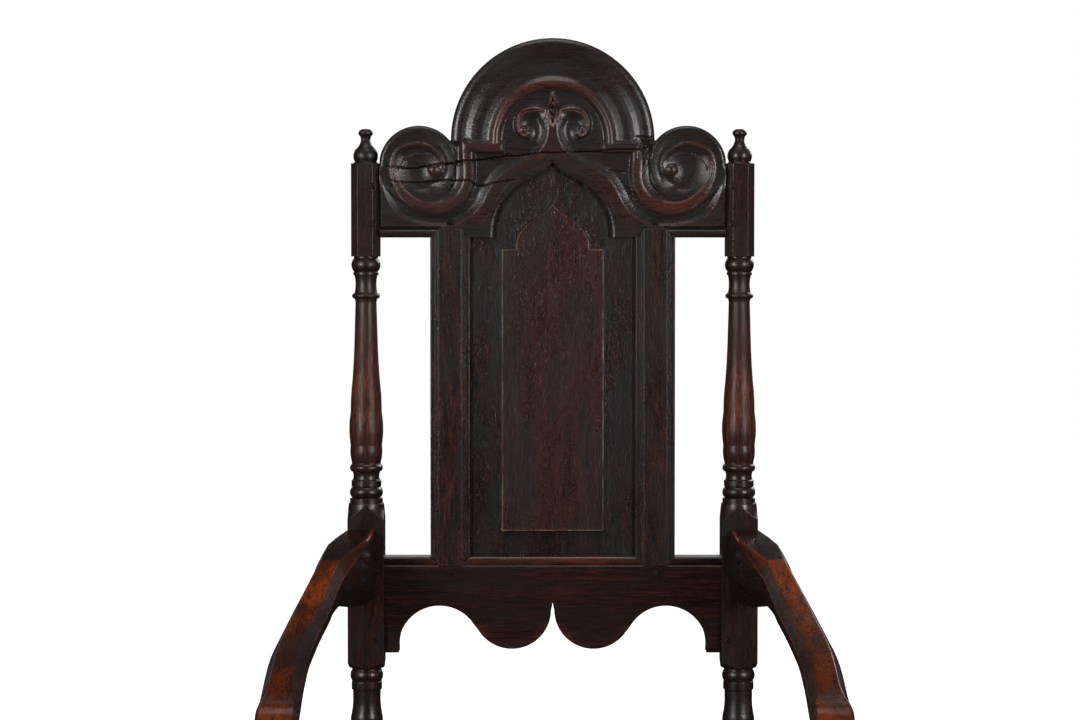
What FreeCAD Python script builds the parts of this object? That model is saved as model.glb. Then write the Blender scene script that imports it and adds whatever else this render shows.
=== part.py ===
import FreeCAD, Part
import Sketcher
import math
import os

# An oak armchair with a panelled back. Millimetres, +Z up, front towards -Y, floor at Z = 0.
# The back leans: its pieces are drawn upright in a frame whose origin is on the seat, midway
# between the posts, and that frame is then tilted. Heights in it are measured from the seat.
# "left" is the side at -X, seen from the front.

SIZES = [
    # The whole chair
    ("seat_height", 430, "floor to the top of the seat"),
    ("back_rake", 4, "degrees the back leans from upright"),
    ("post_spacing", 431, "between the axes of the back posts"),
    ("leg_spacing", 550, "between the axes of the front legs"),
    ("seat_depth", 410, "from the posts' axes to the front legs' axes, at the seat"),
    # Back posts, heights above the seat
    ("post_block", 41.5, "square section of a back post"),
    ("post_turning", 38, "largest diameter turned on a back post"),
    ("seat_block_rise", 13, "height of the square seat blocks above the seat"),
    ("arm_block_low", 89.5, "lower end of the arm block"),
    ("arm_block_high", 280, "upper end of the arm block"),
    ("head_block", 33, "width of the octagonal head block"),
    ("head_chamfer", 7.8, "chamfer on the head block's corners"),
    ("head_block_low", 565, "lower end of the head block"),
    ("head_block_high", 672, "upper end of the head block"),
    ("finial_height", 40, "finial above the head block"),
    ("corner_cut", 8, "length over which the lathe rounds a block's corners"),
    # Back frame, faces measured ahead of the posts' axes
    ("frame_front", 15, "face of the frame ahead of the posts' axes"),
    ("crest_thickness", 30, "crest rail, front to back"),
    ("crest_low", 587, "lower edge of the crest rail"),
    ("lobe_foot", 677, "where the side lobes meet the posts"),
    ("arch_spring", 698.5, "where the big arch springs"),
    ("arch_radius", 117, "radius of the big arch"),
    ("carving_depth", 5, "depth of the carved ground behind the crest's face"),
    ("bead_radius", 71, "outer radius of the arched bead on the crest"),
    ("bead_width", 10, "width of the arched bead"),
    ("scroll_inset", 46, "centre of a side scroll from the crest's shoulder"),
    ("scroll_height", 662, "centre of a side scroll above the seat"),
    ("scroll_radius", 46, "outer radius of a side scroll"),
    ("ogee_half_width", 68.4, "half width of the crest's cut-out"),
    ("ogee_spring", 590, "where the cut-out's curve springs"),
    ("ogee_apex", 673, "point of the cut-out"),
    ("opening_width", 191, "between the stiles"),
    ("stile_width", 45.5, "width of a stile"),
    ("stile_thickness", 26, "stile, front to back"),
    ("moulding_width", 10, "moulded edge of stiles and rails"),
    ("moulding_depth", 3.5, "depth of the moulded edge"),
    ("lower_rail_low", 108, "lower edge of the lower rail's ears"),
    ("lower_rail_high", 218.5, "upper edge of the lower rail"),
    ("lower_rail_thickness", 28, "lower rail, front to back"),
    # Panel
    ("groove_front", 6, "front side of the panel's groove, ahead of the posts' axes"),
    ("groove_width", 8, "width of the panel's groove"),
    ("groove_depth", 8, "depth of the panel's groove"),
    ("panel_gap", 1, "room at the panel's edges for the wood to move"),
    ("panel_fit", 0.2, "clearance at each face of the panel's edge"),
    ("field_rise", 5, "how far the panel's field stands forward"),
    ("field_width", 117, "width of the raised field"),
    ("field_low", 248.5, "lower edge of the field"),
    ("field_shoulder", 573, "shoulders of the field"),
    ("field_neck", 84, "width of the field above its shoulders"),
    ("field_top", 626, "point of the field"),
    # Arms
    ("arm_high", 252, "top of an arm at the back post, above the seat"),
    ("arm_drop", 105, "fall of the arm's top from back to front"),
    ("arm_depth", 80, "height of an arm's back end"),
    ("arm_width", 31, "width of an arm's back end"),
    ("arm_inset", 5, "arm's centre outside the post's axis at the back"),
    ("arm_front_width", 44, "width of an arm over the front leg"),
    ("arm_scroll", 46, "diameter of the scroll at the arm's front"),
    ("arm_scroll_ahead", 25, "scroll's centre ahead of the front leg's axis"),
    ("arm_seat_cut", 3, "depth of the flat cut for the leg's shoulder under the arm"),
    # Front legs
    ("leg_block", 50, "square section of a front leg"),
    ("leg_turning", 46, "largest diameter turned on a front leg"),
    ("foot_height", 48, "turned foot"),
    ("low_block_high", 190, "upper end of the low block, above the floor"),
    ("seat_block_low", 335, "lower end of the seat blocks, above the floor"),
    ("arm_tenon_width", 20, "round tenon on a front leg's top"),
    ("arm_tenon_length", 24, "length of that tenon"),
    # Seat
    ("seat_thickness", 18, "seat boards"),
    ("seat_rail_height", 75, "height of the seat rails"),
    ("seat_rail_thickness", 24, "thickness of the seat rails"),
    ("rail_setback", 3.5, "rails' outer faces behind the blocks' outer faces"),
    ("front_overhang", 12, "seat ahead of the front legs"),
    ("side_overhang", 6, "seat beyond the legs' outer faces"),
    ("front_board_width", 155, "front board, front to back"),
    ("middle_board_width", 150, "middle board, front to back"),
    ("board_gap", 0.6, "shrinkage gap between boards, and at the notches"),
    # Stretchers, heights above the floor
    ("side_stretcher_low", 78, "lower edge of the side stretchers"),
    ("cross_stretcher_low", 130, "lower edge of the back stretcher"),
    ("stretcher_height", 38, "height of a flat stretcher"),
    ("stretcher_thickness", 22, "thickness of a flat stretcher"),
    ("front_stretcher_width", 42, "largest diameter of the front stretcher"),
    ("round_tenon", 18, "diameter of the front stretcher's tenons"),
    # Joints
    ("tenon_thickness", 9, "all flat tenons"),
    ("tenon_length", 19, "all flat tenons"),
    ("tenon_shoulder", 8, "shoulder above and below a tenon"),
    ("crest_shoulder", 24, "shoulder above the crest's tenons"),
    ("arm_shoulder", 6, "shoulder above and below an arm's tenon"),
    ("stretcher_shoulder", 4, "shoulder above and below a stretcher's tenon"),
    ("tenon_side", 6, "side tenons' centre outside the axis of their leg or post"),
    ("mortise_gap", 1, "room past a tenon's end"),
    ("joint_fit", 0.15, "clearance round a tenon"),
    ("peg_width", 7, "diameter of a peg"),
    ("peg_fit", 0.1, "clearance round a peg"),
    ("peg_inset", 8.5, "peg's axis inside the joint's shoulder"),
    ("peg_margin", 7.5, "peg's axis from the tenon's edge"),
    ("peg_proud", 1, "a peg's ends above the wood"),
    ("seat_peg_depth", 30, "seat pegs' depth in the rails"),
]

# Outlines as shares. A turning's rows are (height share, radius share, bulge): heights of its
# own length, radii of half its diameter. A bulge belongs to the run that starts at its row: 0 is
# straight, 1 a half circle, and its sign says to which side the run bends.
POST_WAIST_SHARES = [
    (0.00, 0.86, 0), (0.05, 0.86, 0), (0.06, 0.84, 0.20), (0.30, 0.925, -0.06), (0.60, 0.847, 0),
    (0.655, 0.847, 0), (0.67, 0.93, 0), (0.78, 0.93, 0), (0.79, 0.89, 0.32), (0.965, 0.89, 0),
    (1.00, 0.89, 0),
]
POST_SHAFT_SHARES = [
    (0.000, 1.00, 0), (0.020, 1.00, 0), (0.022, 0.85, 0.47), (0.067, 0.85, 0), (0.070, 0.91, 0),
    (0.092, 0.91, 0), (0.096, 0.83, -0.20), (0.127, 0.83, 0), (0.130, 0.90, 0.50),
    (0.158, 0.90, 0), (0.163, 0.875, 0.10), (0.235, 0.957, 0.08), (0.370, 0.95, 0.03),
    (0.500, 0.835, -0.015), (0.700, 0.692, 0), (0.815, 0.642, 0), (0.828, 0.68, 0),
    (0.830, 0.72, 0.80), (0.852, 0.72, 0), (0.855, 0.69, -0.12), (0.924, 0.70, 0),
    (0.926, 0.77, 0), (0.936, 0.77, 0), (0.938, 0.72, 0.38), (0.993, 0.74, 0), (1.000, 0.74, 0),
]
FINIAL_SHARES = [
    (0.00, 0.78, 0), (0.02, 0.75, -0.20), (0.06, 0.66, 0), (0.065, 0.675, 0.275), (0.41, 0.62, -0.21),
    (0.69, 0.285, 0), (0.76, 0.315, 0), (0.80, 0.36, 0.50), (0.95, 0.37, 0), (0.985, 0.26, 0),
]
LEG_FOOT_SHARES = [
    (0.00, 0.62, 0.55), (0.72, 0.62, 0), (0.74, 0.50, -0.15), (0.84, 0.50, 0), (0.85, 0.78, 0.6),
    (0.97, 0.78, 0), (1.00, 0.78, 0),
]
LEG_SHAFT_SHARES = [
    (0.00, 0.80, 0), (0.02, 0.80, 0.60), (0.10, 0.80, 0), (0.12, 0.56, -0.20), (0.20, 0.56, 0),
    (0.21, 0.72, 0.30), (0.245, 0.72, 0), (0.25, 0.60, 0.25), (0.55, 0.80, -0.12),
    (0.76, 0.46, 0), (0.78, 0.46, 0), (0.79, 0.72, 0.35), (0.83, 0.72, 0), (0.84, 0.50, -0.20),
    (0.89, 0.50, 0), (0.90, 0.80, 0.55), (0.98, 0.80, 0), (1.00, 0.80, 0),
]
ARM_SUPPORT_SHARES = [
    (0.00, 0.80, 0), (0.02, 0.80, 0.50), (0.13, 0.80, 0), (0.15, 0.52, -0.20), (0.25, 0.52, 0),
    (0.26, 0.66, 0.25), (0.66, 0.76, 0), (0.68, 0.56, -0.20), (0.76, 0.56, 0),
    (0.77, 0.74, 0.45), (0.88, 0.74, 0), (0.90, 0.80, 0), (1.00, 0.80, 0),
]
STRETCHER_HALF_SHARES = [
    (0.000, 1.00, 0.08), (0.085, 0.74, 0), (0.095, 0.84, 0.35), (0.125, 0.84, 0),
    (0.135, 0.58, -0.05), (0.30, 0.50, 0), (0.31, 0.78, 0.50), (0.36, 0.78, 0),
    (0.37, 0.54, -0.15), (0.43, 0.54, 0), (0.44, 0.74, 0.55), (0.52, 0.74, 0), (0.53, 0.54, -0.15),
    (0.60, 0.54, 0), (0.61, 0.66, 0.10), (0.86, 0.80, 0), (0.88, 0.58, -0.2), (0.93, 0.58, 0),
    (0.94, 0.84, 0.5), (1.00, 0.84, 0),
]
# Lower rail from the ear to the cusp: (share of half its length, share of its height, bulge)
LOWER_RAIL_SHARES = [
    (0.912, 0.0, 0), (0.912, 0.063, 0.787), (0.455, 0.257, -0.787), (0.008, 0.449, 0),
    (0.0, 0.516, 0),
]
LOBE_BULGE_SHARE = 0.67
OGEE_TURN_DEGREES = 65
OGEE_BACK_BULGE_SHARE = 0.10
OGEE_GROW_SHARE = 1.3
# A block's rounded corner: radii as shares of half its width, depth as a share of corner_cut
CORNER_NEAR_SHARE = 0.98
CORNER_FAR_SHARE = 1.60
CORNER_DEEP_SHARE = 1.8
CORNER_LOW_SHARE = 0.9
CORNER_HIGH_SHARE = 2.6
CORNER_BULGE_SHARE = -0.25
# The panel's field above its shoulders: (share of its neck, share of the rise, bulge)
FIELD_TOP_SHARES = [(1.0, 0.0, 0.22), (0.56, 0.63, -0.14)]
# The moulded edge: (share of its width in from the edge, share of its depth, bulge)
MOULDING_SHARES = [
    (0.0, 1.25, -0.3), (0.125, 1.0, 0), (0.5, 1.0, 0), (0.625, 0.33, 0), (0.875, 0.33, 0),
    (1.0, 0.0, 0),
]
SCROLL_SHARES = [
    (1.05, 0.80, -0.30), (1.06, 0.10, -0.41), (0.02, -1.0, -0.41), (-0.90, 0.0, -0.41),
    (-0.28, 0.68, -0.41), (0.30, 0.14, -0.80), (0.10, -0.14, -0.80), (0.08, 0.10, 0.36),
    (-0.28, 0.42, 0.41), (-0.62, 0.02, 0.38), (0.02, -0.72, 0.41), (0.80, 0.06, 0.20),
    (0.66, 0.60, 0),
]
# Ogee band on the crest: (share of the half opening, share of the crest's height, bulge)
OGEE_BAND_SHARES = [
    (1.34, 0.12, 0.0), (0.98, 0.39, 0.10), (0.62, 0.72, -0.12), (0.14, 0.91, 0), (0.0, 0.96, 0),
]
ARM_STATION_SHARES = [
    # (run from the post, sideways, fall, depth, width, flat of the top)
    (0.00, 0.00, 0.00, 1.00, 0.00, 0.94),
    (0.10, 0.26, 0.07, 0.66, 0.04, 0.78),
    (0.19, 0.48, 0.15, 0.47, 0.16, 0.58),
    (0.41, 0.79, 0.45, 0.49, 0.58, 0.56),
    (0.60, 0.94, 0.62, 0.50, 0.84, 0.55),
    (0.78, 1.00, 0.74, 0.52, 0.95, 0.55),
    (1.00, 1.00, 0.96, 0.54, 1.00, 0.55),
]
# Half an arm's section below its top flat: (share of the half width, share of the depth)
ARM_END_SECTION_SHARES = [(1.0, 0.03), (1.0, 0.96), (0.92, 1.0)]
ARM_SECTION_SHARES = [(1.0, 0.38), (1.0, 0.66), (0.62, 1.0)]
ARM_SCROLL_LIFT_SHARE = 0.42
ARM_NECK_WIDTH_SHARE = 0.9
ARM_NECK_LOW_SHARE = 0.05
ARM_NECK_HEIGHT_SHARE = 0.43

doc = FreeCAD.newDocument("wainscot_chair")
sheet = doc.addObject("Spreadsheet::Sheet", "Sizes")
for row, (alias, size, note) in enumerate(SIZES, start=1):
    sheet.set(f"A{row}", note)
    sheet.set(f"B{row}", str(size))
    sheet.setAlias(f"B{row}", alias)
doc.recompute()


class Names:
    """Turns size.seat_height into the sheet's own name for that cell."""

    def __getattr__(self, alias):
        return f"Sizes.{alias}"


size = Names()
RAKE = f"{size.back_rake} * 1deg"
pieces = []


def number(expression):
    """The value that an expression has now."""
    found = sheet.evalExpression(expression)
    return float(getattr(found, "Value", found))


def bind(thing, **expressions):
    """Binds properties; two underscores in a name stand for a dot."""
    for name, expression in expressions.items():
        thing.setExpression(name.replace("__", "."), expression)


def place(thing, x="0", y="0", z="0", axis=(1, 0, 0), turn=None):
    """Puts a feature or a piece at expressions x, y, z, turned about one axis."""
    direction = FreeCAD.Vector(*axis)
    angle = number(turn) if turn else 0
    corner = FreeCAD.Vector(number(x), number(y), number(z))
    thing.Placement = FreeCAD.Placement(corner, FreeCAD.Rotation(direction, angle))
    bind(thing, Placement__Base__x=x, Placement__Base__y=y, Placement__Base__z=z)
    if turn:
        bind(thing, Placement__Rotation__Angle=turn)


def new_piece(name):
    body = doc.addObject("PartDesign::Body", name)
    body.Label = name
    pieces.append(body)
    return body


def mirror_piece(source, name):
    """The left-hand piece, as the mirror image of the right-hand one."""
    mirror = doc.addObject("Part::Mirroring", name)
    mirror.Label = name
    mirror.Source = source
    mirror.Normal = (1, 0, 0)
    pieces.append(mirror)


# The back's frame: origin on the seat between the posts, leaning by the rake.
CREST_BACK = f"({size.crest_thickness} - {size.frame_front})"
BACK_REACH = (f"(({size.arch_spring} + {size.arch_radius}) * sin({RAKE})"
              f" + {CREST_BACK} * cos({RAKE}))")
FRONT_REACH = f"({size.seat_depth} + {size.arm_scroll_ahead} + {size.arm_scroll} / 2)"
POST_Y = f"(({FRONT_REACH} - {BACK_REACH}) / 2)"
LEG_Y = f"({POST_Y} - {size.seat_depth})"
POST_X = f"({size.post_spacing} / 2)"
LEG_X = f"({size.leg_spacing} / 2)"


def lean(piece, x="0"):
    """Puts a piece of the back in its leaning place."""
    place(piece, x, POST_Y, size.seat_height, (1, 0, 0), f"-{RAKE}")


def in_lean(forward, up):
    """An upright offset from the lean's origin, as (y, z) in the leaning frame."""
    y = f"(({forward}) * cos({RAKE}) - ({up}) * sin({RAKE}))"
    z = f"(({forward}) * sin({RAKE}) + ({up}) * cos({RAKE}))"
    return y, z


def sketch_on(body, name, role, offset=None):
    """A sketch on one of the body's origin planes, moved along its normal."""
    sketch = body.newObject("Sketcher::SketchObject", name)
    plane = [p for p in body.Origin.OriginFeatures if p.Role == role][0]
    sketch.AttachmentSupport = [(plane, "")]
    sketch.MapMode = "FlatFace"
    if offset:
        bind(sketch, AttachmentOffset__Base__z=offset)
    return sketch


def draw_loop(sketch, corners):
    """Adds a closed outline. A corner is (x, y) or (x, y, bulge of the run from there on)."""
    first, first_limit = sketch.GeometryCount, sketch.ConstraintCount
    corners = [corner if len(corner) > 2 else (*corner, 0) for corner in corners]
    points = [FreeCAD.Vector(number(x), number(y), 0) for x, y, _ in corners]
    edges, ends = [], []
    for i, (x, y, bulge) in enumerate(corners):
        start, end = points[i], points[(i + 1) % len(points)]
        ends.append((1, 2))
        if bulge:
            across = FreeCAD.Vector(end.y - start.y, start.x - end.x, 0)
            edges.append(Part.Arc(start, (start + end) / 2 + across * (bulge / 2), end))
            if bulge < 0:
                ends[i] = (2, 1)
        else:
            edges.append(Part.LineSegment(start, end))
    sketch.addGeometry(edges, False)
    limits, sizes_of_limits = [], []
    for i, (x, y, bulge) in enumerate(corners):
        after = (i + 1) % len(corners)
        edge = first + i
        limits.append(Sketcher.Constraint("Coincident", edge, ends[i][1], first + after,
                                          ends[after][0]))
        limits.append(Sketcher.Constraint("DistanceX", -1, 1, edge, ends[i][0], points[i].x))
        sizes_of_limits.append((len(limits) - 1, x))
        limits.append(Sketcher.Constraint("DistanceY", -1, 1, edge, ends[i][0], points[i].y))
        sizes_of_limits.append((len(limits) - 1, y))
        if bulge:
            next_x, next_y = corners[after][:2]
            run = points[after] - points[i]
            share = (1 - bulge ** 2) / (4 * bulge)
            if abs(run.x) > abs(run.y):
                centre = f"(({y}) + ({next_y})) / 2 + (({next_x}) - ({x})) * {share}"
                kind = "DistanceY"
            else:
                centre = f"(({x}) + ({next_x})) / 2 - (({next_y}) - ({y})) * {share}"
                kind = "DistanceX"
            limits.append(Sketcher.Constraint(kind, -1, 1, edge, 3, number(centre)))
            sizes_of_limits.append((len(limits) - 1, centre))
    sketch.addConstraint(limits)
    for at, expression in sizes_of_limits:
        sketch.setExpression(f"Constraints[{first_limit + at}]", expression)
    return sketch


def draw_circles(sketch, centres, radius):
    limits, sizes_of_limits, circles = [], [], []
    for i, (x, y) in enumerate(centres):
        centre = FreeCAD.Vector(number(x), number(y), 0)
        circles.append(Part.Circle(centre, FreeCAD.Vector(0, 0, 1), number(radius)))
        for limit, expression in (
                (Sketcher.Constraint("DistanceX", -1, 1, i, 3, centre.x), x),
                (Sketcher.Constraint("DistanceY", -1, 1, i, 3, centre.y), y),
                (Sketcher.Constraint("Radius", i, number(radius)), radius)):
            sizes_of_limits.append((len(limits), expression))
            limits.append(limit)
    sketch.addGeometry(circles, False)
    sketch.addConstraint(limits)
    for at, expression in sizes_of_limits:
        sketch.setExpression(f"Constraints[{at}]", expression)
    return sketch


def pad(body, sketch, length, backward=False, both=False):
    feature = body.newObject("PartDesign::Pad", f"{sketch.Name}_pad")
    feature.Profile = sketch
    feature.Reversed = backward
    feature.SideType = "Symmetric" if both else "One side"
    bind(feature, Length=length)
    return feature


def pocket(body, sketch, length=None, both=False):
    """Cuts away from the sketch's normal; with no length it cuts through all, both ways."""
    feature = body.newObject("PartDesign::Pocket", f"{sketch.Name}_cut")
    feature.Profile = sketch
    if length is None:
        feature.SideType = "Symmetric"
        feature.Type = "ThroughAll"
    else:
        feature.SideType = "Symmetric" if both else "One side"
        bind(feature, Length=length)
    return feature


def box(body, kind, low, extent, axis=(1, 0, 0), turn=None):
    """An added or removed box from its lowest corner."""
    feature = body.newObject(f"PartDesign::{kind}Box", f"{body.Name}_box")
    bind(feature, Length=extent[0], Width=extent[1], Height=extent[2])
    place(feature, *low, axis, turn)
    return feature


def mirrored(corners):
    """Right-hand corners, from the outer end to the middle, with the left-hand ones after."""
    left = []
    for i in range(len(corners) - 1, -1, -1):
        bulge = corners[i - 1][2] if i and len(corners[i - 1]) > 2 else 0
        if number(corners[i][0]):
            left.append((f"-({corners[i][0]})", corners[i][1], bulge))
        else:
            corners[i] = (corners[i][0], corners[i][1], bulge)
    return corners + left


def turning(body, name, low, high, width, shares):
    """Revolves a turned stretch between two heights about the body's Z axis."""
    span = f"(({high}) - ({low}))"
    corners = [("0", low, 0)]
    for height, radius, bulge in shares:
        corners.append((f"{width} / 2 * {radius}", f"({low}) + {span} * {height}", bulge))
    corners.append(("0", high, 0))
    sketch = draw_loop(sketch_on(body, name, "XZ_Plane"), corners)
    feature = body.newObject("PartDesign::Revolution", f"{name}_turned")
    feature.Profile = sketch
    feature.ReferenceAxis = (sketch, ["V_Axis"])
    feature.Angle = 360
    return feature


def round_corners(body, width, ends):
    """Rounds square blocks' corners, as the lathe does.

    An end is (height, -1 or +1 inward), with a share of the usual depth where it has its own.
    """
    near = f"{width} / 2 * {CORNER_NEAR_SHARE}"
    far = f"{width} / 2 * {CORNER_FAR_SHARE}"
    sketch = sketch_on(body, f"{body.Name}_corners", "XZ_Plane")
    for end, inward, *own in ends:
        share = own[0] if own else CORNER_DEEP_SHARE
        deep = f"({end}) + {inward} * {size.corner_cut} * {share}"
        draw_loop(sketch, [(near, end, CORNER_BULGE_SHARE * inward), (far, deep), (far, end)])
    feature = body.newObject("PartDesign::Groove", f"{body.Name}_corners_turned")
    feature.Profile = sketch
    feature.ReferenceAxis = (sketch, ["V_Axis"])
    feature.Angle = 360
    return feature


def square(body, name, low, high, width):
    """A square block about the body's Z axis."""
    return box(body, "Additive", (f"-{width} / 2", f"-{width} / 2", low),
               (width, width, f"({high}) - ({low})"))


# Heights and places that several pieces share
MORTISE = f"({size.tenon_length} + {size.mortise_gap})"
SLOT = f"({size.tenon_thickness} + 2 * {size.joint_fit})"
FINIAL_TOP = f"({size.head_block_high} + {size.finial_height})"
SEAT_BLOCK_TOP = f"({size.seat_height} + {size.seat_block_rise})"
RAIL_TOP = f"({size.seat_height} - {size.seat_thickness})"
RAIL_LOW = f"({RAIL_TOP} - {size.seat_rail_height})"
RAIL_MIDDLE = f"({RAIL_TOP} - {size.seat_rail_height} / 2)"
CREST_HALF = f"({POST_X} - {size.head_block} / 2)"
LOWER_HALF = f"({POST_X} - {size.post_block} / 2)"
OPENING = f"({size.opening_width} / 2)"
STILE_X = f"({OPENING} + {size.stile_width} / 2)"
STILE_OUT = f"({OPENING} + {size.stile_width})"
CREST_TENON = (f"({size.crest_low} + {size.tenon_shoulder})",
               f"({size.lobe_foot} - {size.crest_shoulder})")
LOWER_TENON = (f"({size.lower_rail_low} + {size.tenon_shoulder})",
               f"({size.lower_rail_high} - {size.tenon_shoulder})")
ARM_TENON = (f"({LOWER_TENON[1]} + {size.arm_shoulder})",
             f"({size.arm_high} - {size.arm_shoulder})")
CROSS_RAIL_TENON = (f"({RAIL_MIDDLE} + {size.mortise_gap})", f"({RAIL_TOP} - {size.tenon_shoulder})")
SIDE_RAIL_TENON = (f"({RAIL_LOW} + {size.tenon_shoulder})", f"({RAIL_MIDDLE} - {size.mortise_gap})")
SIDE_STRETCHER_TENON = (
    f"({size.side_stretcher_low} + {size.stretcher_shoulder})",
    f"({size.side_stretcher_low} + {size.stretcher_height} - {size.stretcher_shoulder})")
BACK_STRETCHER_TENON = (
    f"({size.cross_stretcher_low} + {size.stretcher_shoulder})",
    f"({size.cross_stretcher_low} + {size.stretcher_height} - {size.stretcher_shoulder})")
FRONT_STRETCHER_Z = f"({size.cross_stretcher_low} + {size.stretcher_height} / 2)"
STILE_TENON_HALF = f"({size.stile_width} / 2 - {size.moulding_width})"
TENON_BACK = f"(-{size.groove_front} + {size.groove_width})"

# The arm's line: the station over the front leg gives the leg its height
ARM_REAR_Y = f"({size.post_block} / 2)"
ARM_RUN = f"({size.seat_depth} - {ARM_REAR_Y})"
ARM_TOP_Z = f"({size.seat_height} + {size.arm_high})"
OVER_LEG = ARM_STATION_SHARES[-1]
ARM_UNDERSIDE = (f"({ARM_TOP_Z} - {size.arm_drop} * {OVER_LEG[2]}"
                 f" - {size.arm_depth} * {OVER_LEG[3]})")
ARM_SEAT = f"({ARM_UNDERSIDE} + {size.arm_seat_cut})"


def y_pegs(tenon, shoulder_x):
    """Two pegs through a tenon that runs along X: the centres as seen from the front."""
    low, high = tenon
    x = f"({shoulder_x} + {size.peg_inset})"
    return [(x, f"({low} + {size.peg_margin})"), (x, f"({high} - {size.peg_margin})")]


CREST_PEGS = y_pegs(CREST_TENON, CREST_HALF)
LOWER_PEGS = y_pegs(LOWER_TENON, LOWER_HALF)
CREST_STILE_PEG = (STILE_X, f"({size.crest_low} + {size.moulding_width} + {size.peg_inset})")
LOWER_STILE_PEG = (STILE_X, f"({size.lower_rail_high} - {size.moulding_width} - {size.peg_inset})")
PEG_HOLE = f"({size.peg_width} / 2 + {size.peg_fit})"


def both_sides(centres):
    return centres + [(f"-{x}", z) for x, z in centres]


def side_mortise(body, low, high, y, z, turn=None):
    """A mortise cut along Y in a post or leg, outside its axis."""
    box(body, "Subtractive", (f"({size.tenon_side} - {SLOT} / 2)", y, z),
        (SLOT, MORTISE, f"{high} - {low} + 2 * {size.joint_fit}"), (1, 0, 0), turn)


def post_mortises(body):
    """The mortises in a post's upright leg, which leans in the post's own frame."""
    for low, high in (SIDE_RAIL_TENON, SIDE_STRETCHER_TENON):
        y, z = in_lean(f"-{size.post_block} / 2",
                       f"{low} - {size.joint_fit} - {size.seat_height}")
        side_mortise(body, low, high, y, z, RAKE)
    for (low, high), thickness in ((CROSS_RAIL_TENON, size.seat_rail_thickness),
                                   (BACK_STRETCHER_TENON, size.stretcher_thickness)):
        centre = f"({size.post_block} / 2 - {size.rail_setback} - {thickness} / 2)"
        y, z = in_lean(f"{centre} - {SLOT} / 2", f"{low} - {size.joint_fit} - {size.seat_height}")
        box(body, "Subtractive", (f"-{size.post_block} / 2", y, z),
            (MORTISE, SLOT, f"{high} - {low} + 2 * {size.joint_fit}"), (1, 0, 0), RAKE)


def x_hole(body, name, centres, width=PEG_HOLE):
    """Peg holes that run along X; centres are (y, z) in the body's frame."""
    pocket(body, draw_circles(sketch_on(body, name, "YZ_Plane"), centres, width))


def leg_in_lean(y, z):
    """A place on the upright leg, given ahead of the post's axis and above the floor."""
    return in_lean(y, f"{z} - {size.seat_height}")


SIDE_PEG_Y = f"(-{size.post_block} / 2 + {size.peg_inset})"


def two_heights(tenon):
    return [f"({tenon[0]} + {size.peg_margin})", f"({tenon[1]} - {size.peg_margin})"]


def middle_height(tenon):
    return [f"(({tenon[0]} + {tenon[1]}) / 2)"]


BACK_RAIL_PEG_HEIGHTS = middle_height(CROSS_RAIL_TENON)
SIDE_RAIL_PEG_HEIGHTS = middle_height(SIDE_RAIL_TENON)
STRETCHER_PEG_HEIGHTS = middle_height(SIDE_STRETCHER_TENON)
BACK_STRETCHER_PEG_HEIGHTS = middle_height(BACK_STRETCHER_TENON)
ARM_PEG_HEIGHT = f"(({ARM_TENON[0]} + {ARM_TENON[1]}) / 2)"
INNER_PEG_X = f"(-{size.post_block} / 2 + {size.peg_inset})"


def back_post(name):
    """The square blocks are made and cut first, and the turned stretches then join them."""
    body = new_piece(name)
    half = f"{size.post_block} / 2"
    kink = f"({half} * tan({RAKE} / 2))"
    foot_front = in_lean(f"-{half}", f"-{size.seat_height}")
    foot_back = in_lean(half, f"-{size.seat_height}")
    corners = [(f"-{half}", size.seat_block_rise), (f"-{half}", f"-{kink}"), foot_front,
               foot_back, (half, kink), (half, size.seat_block_rise)]
    pad(body, draw_loop(sketch_on(body, f"{name}_leg", "YZ_Plane"), corners),
        size.post_block, both=True)
    square(body, f"{name}_arm", size.arm_block_low, size.arm_block_high, size.post_block)
    pad(body, draw_loop(sketch_on(body, f"{name}_head", "XY_Plane", size.head_block_low),
                        octagon(size.head_block, size.head_chamfer)),
        f"{size.head_block_high} - {size.head_block_low}")
    for width, tenon in ((size.head_block, CREST_TENON), (size.post_block, LOWER_TENON)):
        box(body, "Subtractive",
            (f"-{width} / 2", f"{TENON_BACK} - {size.tenon_thickness} - {size.joint_fit}",
             f"{tenon[0]} - {size.joint_fit}"),
            (MORTISE, SLOT, f"{tenon[1]} - {tenon[0]} + 2 * {size.joint_fit}"))
    side_mortise(body, *ARM_TENON, f"-{half}", f"{ARM_TENON[0]} - {size.joint_fit}")
    post_mortises(body)
    holes = [(f"({x} - {POST_X})", z) for x, z in CREST_PEGS + LOWER_PEGS]
    pocket(body, draw_circles(sketch_on(body, f"{name}_pegs", "XZ_Plane"), holes, PEG_HOLE))
    low_holes = [leg_in_lean(SIDE_PEG_Y, z) for z in SIDE_RAIL_PEG_HEIGHTS + STRETCHER_PEG_HEIGHTS]
    x_hole(body, f"{name}_side_pegs", low_holes + [(SIDE_PEG_Y, ARM_PEG_HEIGHT)])
    for z in BACK_RAIL_PEG_HEIGHTS + BACK_STRETCHER_PEG_HEIGHTS:
        hole = body.newObject("PartDesign::SubtractiveCylinder", f"{name}_hole")
        bind(hole, Radius=PEG_HOLE, Height=f"2 * {size.post_block}")
        y, up = leg_in_lean(size.post_block, z)
        place(hole, INNER_PEG_X, y, up, (1, 0, 0), f"90 deg + {RAKE}")
    round_corners(body, size.post_block, [
        (size.seat_block_rise, -1), (size.arm_block_low, 1, CORNER_LOW_SHARE),
        (size.arm_block_high, -1, CORNER_HIGH_SHARE)])
    turning(body, f"{name}_waist", size.seat_block_rise, size.arm_block_low,
            size.post_turning, POST_WAIST_SHARES)
    turning(body, f"{name}_shaft", size.arm_block_high, size.head_block_low,
            size.post_turning, POST_SHAFT_SHARES)
    turning(body, f"{name}_finial", size.head_block_high, FINIAL_TOP,
            size.post_turning, FINIAL_SHARES)
    lean(body, POST_X)
    return body


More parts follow.
